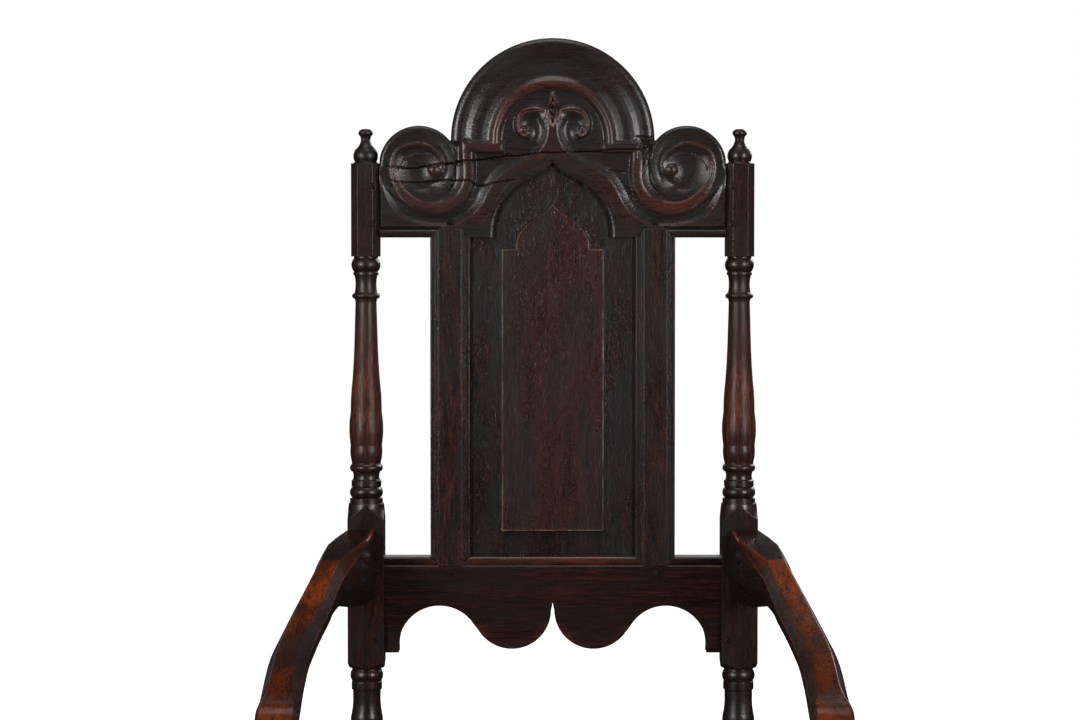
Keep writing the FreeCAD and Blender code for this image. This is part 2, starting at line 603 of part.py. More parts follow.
def octagon(width, chamfer):
    """The corners of a square with its corners cut."""
    half, flat = f"({width} / 2)", f"({width} / 2 - {chamfer})"
    corners = []
    for x, y in ((1, -1), (1, 1), (-1, 1), (-1, -1)):
        ends = [(f"{x} * {half}", f"{y} * {flat}"), (f"{x} * {flat}", f"{y} * {half}")]
        corners += ends if x * y > 0 else ends[::-1]
    return corners


def panel_outline(grow):
    """The opening for the panel, from its foot to the ogee's point, grown by a margin."""
    wide, neck = f"({OPENING} + {grow})", f"({size.ogee_half_width} + {grow})"
    turn = math.radians(OGEE_TURN_DEGREES)
    cos_end, sin_end, first_bulge = math.cos(turn), math.sin(turn), math.tan(turn / 4)
    return [
        (wide, f"({size.lower_rail_high} - {grow})", 0),
        (wide, f"({size.crest_low} + {grow})", 0),
        (neck, f"({size.crest_low} + {grow})", 0),
        (neck, f"({size.ogee_spring} + {grow})", first_bulge),
        (f"{neck} * {cos_end}", f"({size.ogee_spring} + {grow} + {neck} * {sin_end})",
         -OGEE_BACK_BULGE_SHARE),
        ("0", f"({size.ogee_apex} + {grow} * {OGEE_GROW_SHARE})", 0),
    ]


def cut_groove(body):
    """The groove that holds the panel, cut with one outline in stiles and rails."""
    outline = mirrored(panel_outline(size.groove_depth))
    sketch = sketch_on(body, f"{body.Name}_groove", "XZ_Plane", size.groove_front)
    pocket(body, draw_loop(sketch, outline), size.groove_width)


def stile_end(low, high):
    """The mitred end of a stile, as the corners of a tapering tongue."""
    return [(STILE_OUT, low), (OPENING, low), (f"({OPENING} + {size.moulding_width})", high),
            (f"({STILE_OUT} - {size.moulding_width})", high)]


def stile_mortises(body, shoulder, way):
    """Mitred sockets and mortises for both stiles; way is +1 up into the crest, -1 down."""
    shoulder_in = f"({shoulder} + {way} * {size.moulding_width})"
    for side in (1, -1):
        corners = [(f"{side} * {x}", z) for x, z in stile_end(shoulder, shoulder_in)]
        sketch = sketch_on(body, f"{body.Name}_socket", "XZ_Plane")
        pocket(body, draw_loop(sketch, corners))
        low = shoulder_in if way > 0 else f"({shoulder_in} - {MORTISE})"
        box(body, "Subtractive",
            (f"{side} * {STILE_X} - {STILE_TENON_HALF} - {size.joint_fit}",
             f"{TENON_BACK} - {size.tenon_thickness} - {size.joint_fit}", low),
            (f"2 * ({STILE_TENON_HALF} + {size.joint_fit})", SLOT, MORTISE))


def end_tenons(body, half, tenon):
    """Tenons on both ends of a rail of the back."""
    for low_x in (half, f"-{half} - {size.tenon_length}"):
        box(body, "Additive",
            (low_x, f"{TENON_BACK} - {size.tenon_thickness}", tenon[0]),
            (size.tenon_length, size.tenon_thickness, f"{tenon[1]} - {tenon[0]}"))


def crest_rail():
    """Board and ogee band are cut first; the other raised bands are laid on afterwards."""
    body = new_piece("crest_rail")
    ground = f"({size.frame_front} - {size.carving_depth})"
    outline = mirrored([
        (CREST_HALF, size.crest_low, 0),
        (CREST_HALF, size.lobe_foot, LOBE_BULGE_SHARE),
        (size.arch_radius, size.arch_spring, 1),
    ])
    sketch = draw_loop(sketch_on(body, "crest_board", "XZ_Plane", ground), outline)
    pad(body, sketch, f"{size.crest_thickness} - {size.carving_depth}", backward=True)
    sketch = draw_loop(sketch_on(body, "crest_ogee_band", "XZ_Plane", ground), ogee_band())
    pad(body, sketch, size.carving_depth)
    opening = panel_outline("0")[2:]
    below = (opening[0][0], f"({size.crest_low} - {size.moulding_width})", 0)
    sketch = draw_loop(sketch_on(body, "crest_ogee", "XZ_Plane"), mirrored([below] + opening[1:]))
    pocket(body, sketch)
    cut_groove(body)
    stile_mortises(body, size.crest_low, 1)
    end_tenons(body, CREST_HALF, CREST_TENON)
    holes = both_sides(CREST_PEGS + [CREST_STILE_PEG])
    pocket(body, draw_circles(sketch_on(body, "crest_holes", "XZ_Plane"), holes, PEG_HOLE))
    for name, corners in crest_bands():
        sketch = draw_loop(sketch_on(body, name, "XZ_Plane", ground), corners)
        pad(body, sketch, size.carving_depth)
    lean(body)


def ogee_band():
    """The raised border of the crest's cut-out."""
    height = f"({size.arch_spring} - {size.crest_low})"
    corners = [(STILE_OUT, size.crest_low, 0)]
    for x, z, bulge in OGEE_BAND_SHARES:
        corners.append((f"{OPENING} * {x}", f"({size.crest_low} + {height} * {z})", bulge))
    return mirrored(corners)


def crest_bands():
    """The raised carving above the cut-out: arched bead, its ledges and the side scrolls."""
    outer, inner = size.bead_radius, f"({size.bead_radius} - {size.bead_width})"
    step = f"({size.arch_spring} - {size.bead_width})"
    yield "crest_bead", [
        (outer, step, 1), (f"-{outer}", step, 0), (f"-{inner}", step, -1), (inner, step, 0)]
    centre_x = f"({CREST_HALF} - {size.scroll_inset})"
    ledge = f"({centre_x} - {size.scroll_radius} * {SCROLL_SHARES[0][0]})"
    for side, tag in ((1, "right"), (-1, "left")):
        corners = []
        for x, z, bulge in SCROLL_SHARES:
            corners.append((f"{side} * ({centre_x} - {size.scroll_radius} * {x})",
                            f"({size.scroll_height} + {size.scroll_radius} * {z})",
                            side * -bulge))
        yield f"crest_scroll_{tag}", corners
        yield f"crest_ledge_{tag}", [
            (f"{side} * {inner}", f"({step} - {size.bead_width})"),
            (f"{side} * {inner}", step), (f"{side} * {ledge}", step),
            (f"{side} * {ledge}", f"({step} - {size.bead_width})")]


def lower_back_rail():
    body = new_piece("lower_back_rail")
    height = f"({size.lower_rail_high} - {size.lower_rail_low})"
    corners = [(LOWER_HALF, size.lower_rail_high, 0), (LOWER_HALF, size.lower_rail_low, 0)]
    for x, z, bulge in LOWER_RAIL_SHARES:
        corners.append((f"{LOWER_HALF} * {x}", f"({size.lower_rail_low} + {height} * {z})", bulge))
    sketch = draw_loop(sketch_on(body, "lower_board", "XZ_Plane", size.frame_front),
                       mirrored(corners))
    pad(body, sketch, size.lower_rail_thickness, backward=True)
    cut_groove(body)
    stile_mortises(body, size.lower_rail_high, -1)
    end_tenons(body, LOWER_HALF, LOWER_TENON)
    holes = both_sides(LOWER_PEGS + [LOWER_STILE_PEG])
    pocket(body, draw_circles(sketch_on(body, "lower_holes", "XZ_Plane"), holes, PEG_HOLE))
    lean(body)


def back_stile(name):
    """A moulded upright: its section is padded along its length, and its ends are mitred."""
    body = new_piece(name)
    low = f"({size.lower_rail_high} - {size.moulding_width})"
    high = f"({size.crest_low} + {size.moulding_width})"
    front, back = f"-{size.frame_front}", f"({size.stile_thickness} - {size.frame_front})"
    half = [(f"{size.stile_width} / 2", back, 0)]
    for inward, deep, bulge in MOULDING_SHARES:
        half.append((f"({size.stile_width} / 2 - {size.moulding_width} * {inward})",
                     f"({front} + {size.moulding_depth} * {deep})", bulge))
    section = [(f"({STILE_X} + {x})", y, bulge) for x, y, bulge in mirrored(half)]
    pad(body, draw_loop(sketch_on(body, f"{name}_section", "XY_Plane", low), section),
        f"{high} - {low}")
    for shoulder, end, way in ((size.lower_rail_high, low, -1), (size.crest_low, high, 1)):
        past = f"({end} + {way} * {size.moulding_width})"
        for edge, inner, out in (
                (OPENING, f"({OPENING} + {size.moulding_width})",
                 f"({OPENING} - {size.moulding_width})"),
                (STILE_OUT, f"({STILE_OUT} - {size.moulding_width})",
                 f"({STILE_OUT} + {size.moulding_width})")):
            corners = [(edge, shoulder), (inner, end), (inner, past), (out, past),
                       (out, shoulder)]
            sketch = sketch_on(body, f"{name}_mitre", "XZ_Plane")
            pocket(body, draw_loop(sketch, corners))
        foot = f"({end} - {size.tenon_length})" if way < 0 else end
        box(body, "Additive",
            (f"({STILE_X} - {STILE_TENON_HALF})",
             f"{TENON_BACK} - {size.tenon_thickness}", foot),
            (f"2 * {STILE_TENON_HALF}", size.tenon_thickness, size.tenon_length))
    cut_groove(body)
    holes = [CREST_STILE_PEG, LOWER_STILE_PEG]
    pocket(body, draw_circles(sketch_on(body, f"{name}_holes", "XZ_Plane"), holes, PEG_HOLE))
    lean(body)
    return body


def back_panel():
    body = new_piece("back_panel")
    edge = f"({size.groove_depth} - {size.panel_gap})"
    face = f"({size.groove_front} - {size.panel_fit})"
    sketch = draw_loop(sketch_on(body, "panel_board", "XZ_Plane", face),
                       mirrored(panel_outline(edge)))
    pad(body, sketch, f"{size.groove_width} - 2 * {size.panel_fit}", backward=True)
    neck = f"({size.field_neck} / 2)"
    rise = f"({size.field_top} - {size.field_shoulder})"
    corners = [(f"{size.field_width} / 2", size.field_low, 0),
               (f"{size.field_width} / 2", size.field_shoulder, 0)]
    for x, z, bulge in FIELD_TOP_SHARES:
        corners.append((f"{neck} * {x}", f"({size.field_shoulder} + {rise} * {z})", bulge))
    corners.append(("0", size.field_top, 0))
    sketch = draw_loop(sketch_on(body, "panel_field", "XZ_Plane", face), mirrored(corners))
    pad(body, sketch, size.field_rise)
    lean(body)


def arm_section(station):
    """The corners of the arm's cross-section at one station, as (x, z)."""
    run, sideways, fall, depth, wide, flat = station
    rear_x = f"({POST_X} + {size.arm_inset})"
    centre = f"({rear_x} + ({LEG_X} - {rear_x}) * {sideways})"
    top = f"({ARM_TOP_Z} - {size.arm_drop} * {fall})"
    deep = f"({size.arm_depth} * {depth})"
    half = f"(({size.arm_width} + ({size.arm_front_width} - {size.arm_width}) * {wide}) / 2)"
    outer = [(flat, 0.0)] + (ARM_SECTION_SHARES if run else ARM_END_SECTION_SHARES)
    around = outer + [(-share, down) for share, down in reversed(outer)]
    return [(f"({centre} + {half} * {share})", f"({top} - {deep} * {down})")
            for share, down in around]


def arm(name):
    body = new_piece(name)
    sketches = []
    for i, station in enumerate(ARM_STATION_SHARES):
        ahead = f"({ARM_REAR_Y} + {ARM_RUN} * {station[0]} - {POST_Y})"
        sketch = sketch_on(body, f"{name}_section_{i}", "XZ_Plane", ahead)
        sketches.append(draw_loop(sketch, arm_section(station)))
    loft = body.newObject("PartDesign::AdditiveLoft", f"{name}_shape")
    loft.Profile = sketches[0]
    loft.Sections = sketches[1:]
    loft.Ruled = True
    scroll_z = f"({ARM_UNDERSIDE} + {size.arm_scroll} * {ARM_SCROLL_LIFT_SHARE})"
    scroll = body.newObject("PartDesign::AdditiveCylinder", f"{name}_scroll")
    bind(scroll, Radius=f"{size.arm_scroll} / 2", Height=size.arm_front_width)
    place(scroll, f"({LEG_X} - {size.arm_front_width} / 2)",
          f"{LEG_Y} - {size.arm_scroll_ahead}", scroll_z, (0, 1, 0), "90 deg")
    neck = f"({size.arm_front_width} * {ARM_NECK_WIDTH_SHARE})"
    box(body, "Additive",
        (f"({LEG_X} - {neck} / 2)", f"({LEG_Y} - {size.arm_scroll_ahead})",
         f"({ARM_UNDERSIDE} + {size.arm_depth} * {ARM_NECK_LOW_SHARE})"),
        (neck, size.arm_scroll_ahead, f"{size.arm_depth} * {ARM_NECK_HEIGHT_SHARE}"))
    tenon_x = f"({POST_X} + {size.tenon_side})"
    y, z = f"{POST_Y} - {ARM_REAR_Y}", f"{size.seat_height} + {ARM_TENON[0]}"
    box(body, "Additive", (f"({tenon_x} - {size.tenon_thickness} / 2)", y, z),
        (size.tenon_thickness, size.tenon_length, f"{ARM_TENON[1]} - {ARM_TENON[0]}"))
    for radius, low, high in (
            (f"{size.leg_turning} / 2", f"{ARM_SEAT} - {size.arm_depth}", ARM_SEAT),
            (f"{size.arm_tenon_width} / 2 + {size.joint_fit}", ARM_SEAT,
             f"({ARM_SEAT} + {size.arm_tenon_length} + {size.mortise_gap})")):
        hole = body.newObject("PartDesign::SubtractiveCylinder", f"{name}_hole")
        bind(hole, Radius=radius, Height=f"{high} - ({low})")
        place(hole, LEG_X, LEG_Y, low)
    x_hole(body, f"{name}_peg_hole",
           [(f"{POST_Y} + {SIDE_PEG_Y}", f"{size.seat_height} + {ARM_PEG_HEIGHT}"),
            (LEG_Y, ARM_FRONT_PEG_Z)])
    return body


ARM_FRONT_PEG_Z = f"({ARM_SEAT} + {size.arm_tenon_length} / 2)"


def front_leg(name):
    """Drawn on its own axis from the floor up: blocks and cuts first, then the turnings."""
    body = new_piece(name)
    half = f"{size.leg_block} / 2"
    square(body, f"{name}_low", size.foot_height, size.low_block_high, size.leg_block)
    square(body, f"{name}_seat", size.seat_block_low, SEAT_BLOCK_TOP, size.leg_block)
    for low, high in (SIDE_RAIL_TENON, SIDE_STRETCHER_TENON):
        side_mortise(body, low, high, f"({half} - {MORTISE})", f"({low} - {size.joint_fit})")
    low, high = CROSS_RAIL_TENON
    centre = f"(-{half} + {size.rail_setback} + {size.seat_rail_thickness} / 2)"
    box(body, "Subtractive", (f"-{half}", f"{centre} - {SLOT} / 2", f"{low} - {size.joint_fit}"),
        (MORTISE, SLOT, f"{high} - {low} + 2 * {size.joint_fit}"))
    hole = body.newObject("PartDesign::SubtractiveCylinder", f"{name}_round_mortise")
    bind(hole, Radius=f"{size.round_tenon} / 2 + {size.joint_fit}", Height=MORTISE)
    place(hole, f"-{half}", "0", FRONT_STRETCHER_Z, (0, 1, 0), "90 deg")
    pegs = [(f"({half} - {size.peg_inset})", z)
            for z in SIDE_RAIL_PEG_HEIGHTS + STRETCHER_PEG_HEIGHTS]
    x_hole(body, f"{name}_side_pegs", pegs)
    pegs = [(f"(-{half} + {size.peg_inset})", z)
            for z in BACK_RAIL_PEG_HEIGHTS + [FRONT_STRETCHER_Z]]
    pocket(body, draw_circles(sketch_on(body, f"{name}_front_pegs", "XZ_Plane"), pegs, PEG_HOLE))
    round_corners(body, size.leg_block, [
        (size.foot_height, 1), (size.low_block_high, -1), (size.seat_block_low, 1),
        (SEAT_BLOCK_TOP, -1)])
    tenon = body.newObject("PartDesign::AdditiveCylinder", f"{name}_tenon")
    bind(tenon, Radius=f"{size.arm_tenon_width} / 2", Height=size.arm_tenon_length)
    place(tenon, z=ARM_SEAT)
    x_hole(body, f"{name}_tenon_peg", [("0", ARM_FRONT_PEG_Z)])
    turning(body, f"{name}_foot", "0", size.foot_height, size.leg_turning, LEG_FOOT_SHARES)
    turning(body, f"{name}_shaft", size.low_block_high, size.seat_block_low,
            size.leg_turning, LEG_SHAFT_SHARES)
    turning(body, f"{name}_support", SEAT_BLOCK_TOP, ARM_SEAT, size.leg_turning,
            ARM_SUPPORT_SHARES)
    place(body, LEG_X, LEG_Y)
    return body


def cross_rail(name, half, outer_y, thickness, low, high, tenon, pegs, inward):
    """A rail or stretcher along X between two posts or legs; inward is +1 from the front."""
    body = new_piece(name)
    y = outer_y if inward > 0 else f"{outer_y} - {thickness}"
    box(body, "Additive", (f"-{half}", y, low), (f"2 * {half}", thickness, f"{high} - {low}"))
    middle = f"({y} + {thickness} / 2)"
    box(body, "Additive",
        (f"-{half} - {size.tenon_length}", f"{middle} - {size.tenon_thickness} / 2", tenon[0]),
        (f"2 * ({half} + {size.tenon_length})", size.tenon_thickness, f"{tenon[1]} - {tenon[0]}"))
    centres = both_sides([(f"({half} + {size.peg_inset})", z) for z in pegs])
    pocket(body, draw_circles(sketch_on(body, f"{name}_holes", "XZ_Plane"), centres, PEG_HOLE))
    return body


REAR_SHOULDER = f"({POST_Y} - {size.post_block} / 2)"
FRONT_SHOULDER = f"({LEG_Y} + {size.leg_block} / 2)"


def side_rail(name, thickness, low, high, tenon, pegs):
    """A rail or stretcher along a side, wider apart in front, with its shoulders bevelled."""
    body = new_piece(name)
    rear, front = f"({POST_X} + {size.tenon_side})", f"({LEG_X} + {size.tenon_side})"
    half = f"{thickness} / 2"
    corners = [(f"({rear} - {half})", REAR_SHOULDER), (f"({rear} + {half})", REAR_SHOULDER),
               (f"({front} + {half})", FRONT_SHOULDER), (f"({front} - {half})", FRONT_SHOULDER)]
    pad(body, draw_loop(sketch_on(body, f"{name}_plan", "XY_Plane", low), corners),
        f"{high} - {low}")
    for x, y in ((rear, REAR_SHOULDER), (front, f"{FRONT_SHOULDER} - {size.tenon_length}")):
        box(body, "Additive", (f"({x} - {size.tenon_thickness} / 2)", y, tenon[0]),
            (size.tenon_thickness, size.tenon_length, f"{tenon[1]} - {tenon[0]}"))
    centres = []
    for z in pegs:
        centres += [(f"({REAR_SHOULDER} + {size.peg_inset})", z),
                    (f"({FRONT_SHOULDER} - {size.peg_inset})", z)]
    x_hole(body, f"{name}_holes", centres)
    return body


SEAT_SIDE_REAR = f"({POST_X} + {size.post_block} / 2 + {size.side_overhang})"
SEAT_SIDE_FRONT = f"({LEG_X} + {size.leg_block} / 2 + {size.side_overhang})"


def seat_edge(ahead):
    """The seat's half width at a distance ahead of the posts' axes."""
    return (f"({SEAT_SIDE_REAR} + ({SEAT_SIDE_FRONT} - {SEAT_SIDE_REAR})"
            f" * ({ahead}) / {size.seat_depth})")


SEAT_FRONT = f"({size.seat_depth} + {size.leg_block} / 2 + {size.front_overhang})"
BEHIND_LEG = f"({size.seat_depth} - {size.leg_block} / 2 - {size.board_gap})"
FRONT_SEAM = f"({SEAT_FRONT} - {size.front_board_width})"
BACK_SEAM = f"({FRONT_SEAM} - {size.board_gap} - {size.middle_board_width})"
BEFORE_POST = f"({size.post_block} / 2 + {size.board_gap})"
SEAT_BACK = f"(-{size.post_block} / 2 + {size.rail_setback})"
CROSS_SEAT_PEG_SHARES = [0.25, 0.75]
SIDE_SEAT_PEG_SHARES = [0.12, 0.30, 0.50, 0.66, 0.88]


def seat_peg_centres():
    """Where pegs hold the boards to the rails, on the right, as (x, distance ahead)."""
    half_rail = f"{size.seat_rail_thickness} / 2"
    front_y = f"({size.seat_depth} + {size.leg_block} / 2 - {size.rail_setback} - {half_rail})"
    back_y = f"(-{size.post_block} / 2 + {size.rail_setback} + {half_rail})"
    centres = []
    for rail, reach, y in (("front", f"({LEG_X} - {size.leg_block} / 2)", front_y),
                           ("back", LOWER_HALF, back_y)):
        centres += [(f"{reach} * {share}", y, rail) for share in CROSS_SEAT_PEG_SHARES]
    for share in SIDE_SEAT_PEG_SHARES:
        y = f"({BEFORE_POST} + ({BEHIND_LEG} - {BEFORE_POST}) * {share})"
        x = f"({POST_X} + {size.tenon_side} + ({LEG_X} - {POST_X}) * {y} / {size.seat_depth})"
        centres.append((x, y, "side"))
    return centres


def seat_board(name, corners, low, high):
    """A board of the seat, with the holes of the pegs that fall on it."""
    body = new_piece(name)
    outline = mirrored([(x, f"({POST_Y} - ({ahead}))", 0) for x, ahead in corners])
    sketch = sketch_on(body, f"{name}_plan", "XY_Plane", RAIL_TOP)
    pad(body, draw_loop(sketch, outline), size.seat_thickness)
    centres = [(x, f"({POST_Y} - {ahead})") for x, ahead, _ in seat_peg_centres()
               if number(low) < number(ahead) < number(high)]
    sketch = sketch_on(body, f"{name}_holes", "XY_Plane", RAIL_TOP)
    pocket(body, draw_circles(sketch, both_sides(centres), PEG_HOLE))


def seat_peg_holes(body, rail):
    """Peg holes in a seat rail's top edge."""
    centres = [(x, f"({POST_Y} - {ahead})") for x, ahead, kind in seat_peg_centres()
               if kind == rail]
    if rail != "side":
        centres = both_sides(centres)
    sketch = sketch_on(body, f"{body.Name}_seat_holes", "XY_Plane", RAIL_TOP)
    pocket(body, draw_circles(sketch, centres, PEG_HOLE),
           f"{size.seat_peg_depth} + {size.mortise_gap}")


def seat():
    tenon = CROSS_RAIL_TENON
    leg_half = f"({LEG_X} - {size.leg_block} / 2)"
    front_face = f"({LEG_Y} - {size.leg_block} / 2 + {size.rail_setback})"
    rear_face = f"({POST_Y} + {size.post_block} / 2 - {size.rail_setback})"
    front = cross_rail("seat_rail_front", leg_half, front_face, size.seat_rail_thickness,
                       RAIL_LOW, RAIL_TOP, tenon, BACK_RAIL_PEG_HEIGHTS, 1)
    seat_peg_holes(front, "front")
    back = cross_rail("seat_rail_back", LOWER_HALF, rear_face, size.seat_rail_thickness,
                      RAIL_LOW, RAIL_TOP, tenon, BACK_RAIL_PEG_HEIGHTS, -1)
    seat_peg_holes(back, "back")
    rail = side_rail("seat_rail_right", size.seat_rail_thickness, RAIL_LOW, RAIL_TOP,
                     SIDE_RAIL_TENON, SIDE_RAIL_PEG_HEIGHTS)
    seat_peg_holes(rail, "side")
    mirror_piece(rail, "seat_rail_left")
    inner = f"({leg_half} - {size.board_gap})"
    seat_board("seat_board_front",
               [(inner, SEAT_FRONT), (inner, BEHIND_LEG), (seat_edge(BEHIND_LEG), BEHIND_LEG),
                (seat_edge(FRONT_SEAM), FRONT_SEAM)], FRONT_SEAM, SEAT_FRONT)
    seam = f"({FRONT_SEAM} - {size.board_gap})"
    seat_board("seat_board_middle",
               [(seat_edge(seam), seam), (seat_edge(BACK_SEAM), BACK_SEAM)], BACK_SEAM, seam)
    seam = f"({BACK_SEAM} - {size.board_gap})"
    post_inner = f"({LOWER_HALF} - {size.board_gap})"
    seat_board("seat_board_back",
               [(seat_edge(seam), seam), (seat_edge(BEFORE_POST), BEFORE_POST),
                (post_inner, BEFORE_POST), (post_inner, SEAT_BACK)], SEAT_BACK, seam)


def stretchers():
    rail = side_rail("stretcher_right", size.stretcher_thickness, size.side_stretcher_low,
                     f"({size.side_stretcher_low} + {size.stretcher_height})",
                     SIDE_STRETCHER_TENON, STRETCHER_PEG_HEIGHTS)
    mirror_piece(rail, "stretcher_left")
    rear_face = f"({POST_Y} + {size.post_block} / 2 - {size.rail_setback})"
    cross_rail("stretcher_back", LOWER_HALF, rear_face, size.stretcher_thickness,
               size.cross_stretcher_low,
               f"({size.cross_stretcher_low} + {size.stretcher_height})",
               BACK_STRETCHER_TENON, BACK_STRETCHER_PEG_HEIGHTS, -1)
    body = new_piece("stretcher_front")
    half = f"({LEG_X} - {size.leg_block} / 2)"
    turning(body, "stretcher_near", "0", half, size.front_stretcher_width,
            STRETCHER_HALF_SHARES)
    lower = [(height, radius, -bulge) for height, radius, bulge in STRETCHER_HALF_SHARES]
    turning(body, "stretcher_far", "0", f"-{half}", size.front_stretcher_width, lower)
    tenon = body.newObject("PartDesign::AdditiveCylinder", "stretcher_tenon")
    bind(tenon, Radius=f"{size.round_tenon} / 2", Height=f"2 * ({half} + {size.tenon_length})")
    place(tenon, z=f"-{half} - {size.tenon_length}")
    peg = f"({half} + {size.peg_inset})"
    holes = [("0", peg), ("0", f"-{peg}")]
    pocket(body, draw_circles(sketch_on(body, "stretcher_holes", "XZ_Plane"), holes, PEG_HOLE))
    place(body, "0", LEG_Y, FRONT_STRETCHER_Z, (0, 1, 0), "90 deg")


def peg_group(name, pegs, leaning=False):
    """Riven eight-sided pegs; a peg is (x, y, z, length, axis, turn) from one of its ends."""
    made = []
    for i, (x, y, z, length, axis, turn) in enumerate(pegs):
        peg = doc.addObject("Part::Prism", f"{name}_{i}")
        peg.Polygon = 8
        bind(peg, Circumradius=f"{size.peg_width} / 2", Height=length)
        place(peg, x, y, z, axis, turn)
        made.append(peg)
    group = doc.addObject("Part::Compound", name)
    group.Label = name
    group.Links = made
    if leaning:
        lean(group)
    pieces.append(group)


ALONG_Y = ((1, 0, 0), "-90 deg")
ALONG_X = ((0, 1, 0), "90 deg")


def back_pegs():
    """The pegs of the back frame and of the arms' back ends."""
    groups = {}
    lower_back = f"({size.lower_rail_thickness} - {size.frame_front})"
    for name, centres, ahead, behind in (
            ("crest_pegs", CREST_PEGS, f"{size.head_block} / 2", f"{size.head_block} / 2"),
            ("lower_rail_pegs", LOWER_PEGS, f"{size.post_block} / 2", f"{size.post_block} / 2"),
            ("stile_pegs", [CREST_STILE_PEG], size.frame_front, CREST_BACK),
            ("stile_pegs", [LOWER_STILE_PEG], size.frame_front, lower_back)):
        length = f"{ahead} + {behind} + 2 * {size.peg_proud}"
        for x, z in both_sides(centres):
            groups.setdefault(name, []).append(
                (x, f"-{ahead} - {size.peg_proud}", z, length, *ALONG_Y))
    for name, pegs in groups.items():
        peg_group(name, pegs, leaning=True)
    length = f"{size.post_block} + 2 * {size.peg_proud}"
    x = f"({POST_X} - {size.post_block} / 2 - {size.peg_proud})"
    far = f"(-{POST_X} - {size.post_block} / 2 - {size.peg_proud})"
    peg_group("arm_back_pegs", [(start, SIDE_PEG_Y, ARM_PEG_HEIGHT, length, *ALONG_X)
                                for start in (x, far)], leaning=True)


def low_pegs():
    """The pegs of the arms' fronts, seat rails and stretchers, and of the seat boards."""
    wide = f"({size.arm_front_width} - 2 * {size.peg_proud})"
    peg_group("arm_front_pegs", [
        (f"{side} * {LEG_X} - {wide} / 2", LEG_Y, ARM_FRONT_PEG_Z, wide, *ALONG_X)
        for side in (-1, 1)])
    post_long = f"({size.post_block} + 2 * {size.peg_proud})"
    leg_long = f"({size.leg_block} + 2 * {size.peg_proud})"
    post_y = f"({POST_Y} - {post_long} / 2)"
    leg_y = f"({LEG_Y} - {leg_long} / 2)"
    leg_x = f"({LEG_X} - {size.leg_block} / 2 + {size.peg_inset})"
    post_x = f"({LOWER_HALF} + {size.peg_inset})"
    front, back, sides, under = [], [], [], []
    for side in (-1, 1):
        for z in BACK_RAIL_PEG_HEIGHTS:
            front.append((f"{side} * {leg_x}", leg_y, z, leg_long, *ALONG_Y))
            back.append((f"{side} * {post_x}", post_y, z, post_long, *ALONG_Y))
        under.append((f"{side} * {leg_x}", leg_y, FRONT_STRETCHER_Z, leg_long, *ALONG_Y))
        for z in BACK_STRETCHER_PEG_HEIGHTS:
            under.append((f"{side} * {post_x}", post_y, z, post_long, *ALONG_Y))
        for heights, group in ((SIDE_RAIL_PEG_HEIGHTS, sides), (STRETCHER_PEG_HEIGHTS, under)):
            for z in heights:
                group.append((f"{side} * {POST_X} - {post_long} / 2",
                              f"({REAR_SHOULDER} + {size.peg_inset})", z, post_long, *ALONG_X))
                group.append((f"{side} * {LEG_X} - {leg_long} / 2",
                              f"({FRONT_SHOULDER} - {size.peg_inset})", z, leg_long, *ALONG_X))
    peg_group("seat_rail_front_pegs", front)
    peg_group("seat_rail_back_pegs", back)
    peg_group("seat_rail_side_pegs", sides)
    peg_group("stretcher_pegs", under)
    length = f"({size.seat_peg_depth} + {size.seat_thickness})"
    low = f"({RAIL_TOP} - {size.seat_peg_depth})"
    peg_group("seat_board_pegs", [
        (f"{side} * {x}", f"({POST_Y} - {ahead})", low, length, (1, 0, 0), None)
        for side in (-1, 1) for x, ahead, _ in seat_peg_centres()])


for make in (back_post, back_stile, arm, front_leg):
    mirror_piece(make(f"{make.__name__}_right"), f"{make.__name__}_left")
crest_rail()
lower_back_rail()
back_panel()
seat()
stretchers()
back_pegs()
low_pegs()
doc.recompute()

for thing in doc.Objects:
    if "Invalid" in thing.State or "Error" in thing.State:
        raise RuntimeError(f"{thing.Label} failed: {thing.State}")
for piece in pieces:
    if piece.Shape.isNull() or not piece.Shape.isValid():
        raise RuntimeError(f"{piece.Label} has no valid shape")
    bounds = piece.Shape.BoundBox
    print(f"{piece.Label}: {len(piece.Shape.Solids)} solid, {piece.Shape.Volume / 1000:.1f} cm3,"
          f" {bounds.XMin:.1f}..{bounds.XMax:.1f} {bounds.YMin:.1f}..{bounds.YMax:.1f}"
          f" {bounds.ZMin:.1f}..{bounds.ZMax:.1f}")
os.makedirs("parts", exist_ok=True)
for piece in pieces:
    piece.Shape.exportStep(f"parts/{piece.Label}.step")
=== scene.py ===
"""The looks of an oak wainscot chair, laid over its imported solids. Metres, front towards -Y."""

import math

import bmesh
import bpy
import numpy as np
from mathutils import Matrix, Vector
from mathutils.geometry import delaunay_2d_cdt


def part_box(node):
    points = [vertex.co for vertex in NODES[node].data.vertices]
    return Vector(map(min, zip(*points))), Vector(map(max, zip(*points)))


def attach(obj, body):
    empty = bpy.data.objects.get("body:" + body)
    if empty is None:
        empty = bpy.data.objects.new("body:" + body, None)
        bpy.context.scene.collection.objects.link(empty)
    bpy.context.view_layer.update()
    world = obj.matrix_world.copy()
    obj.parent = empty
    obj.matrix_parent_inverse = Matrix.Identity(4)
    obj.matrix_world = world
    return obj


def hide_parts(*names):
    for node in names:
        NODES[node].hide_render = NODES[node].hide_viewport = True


bl_info = {
    "name": "Wainscot chair",
    "version": (1, 0, 0),
    "blender": (4, 5, 0),
    "location": "View3D > Sidebar > Chair",
    "description": "Carved back, arms and waxed oak for a panel-back armchair",
    "category": "Add Mesh",
}

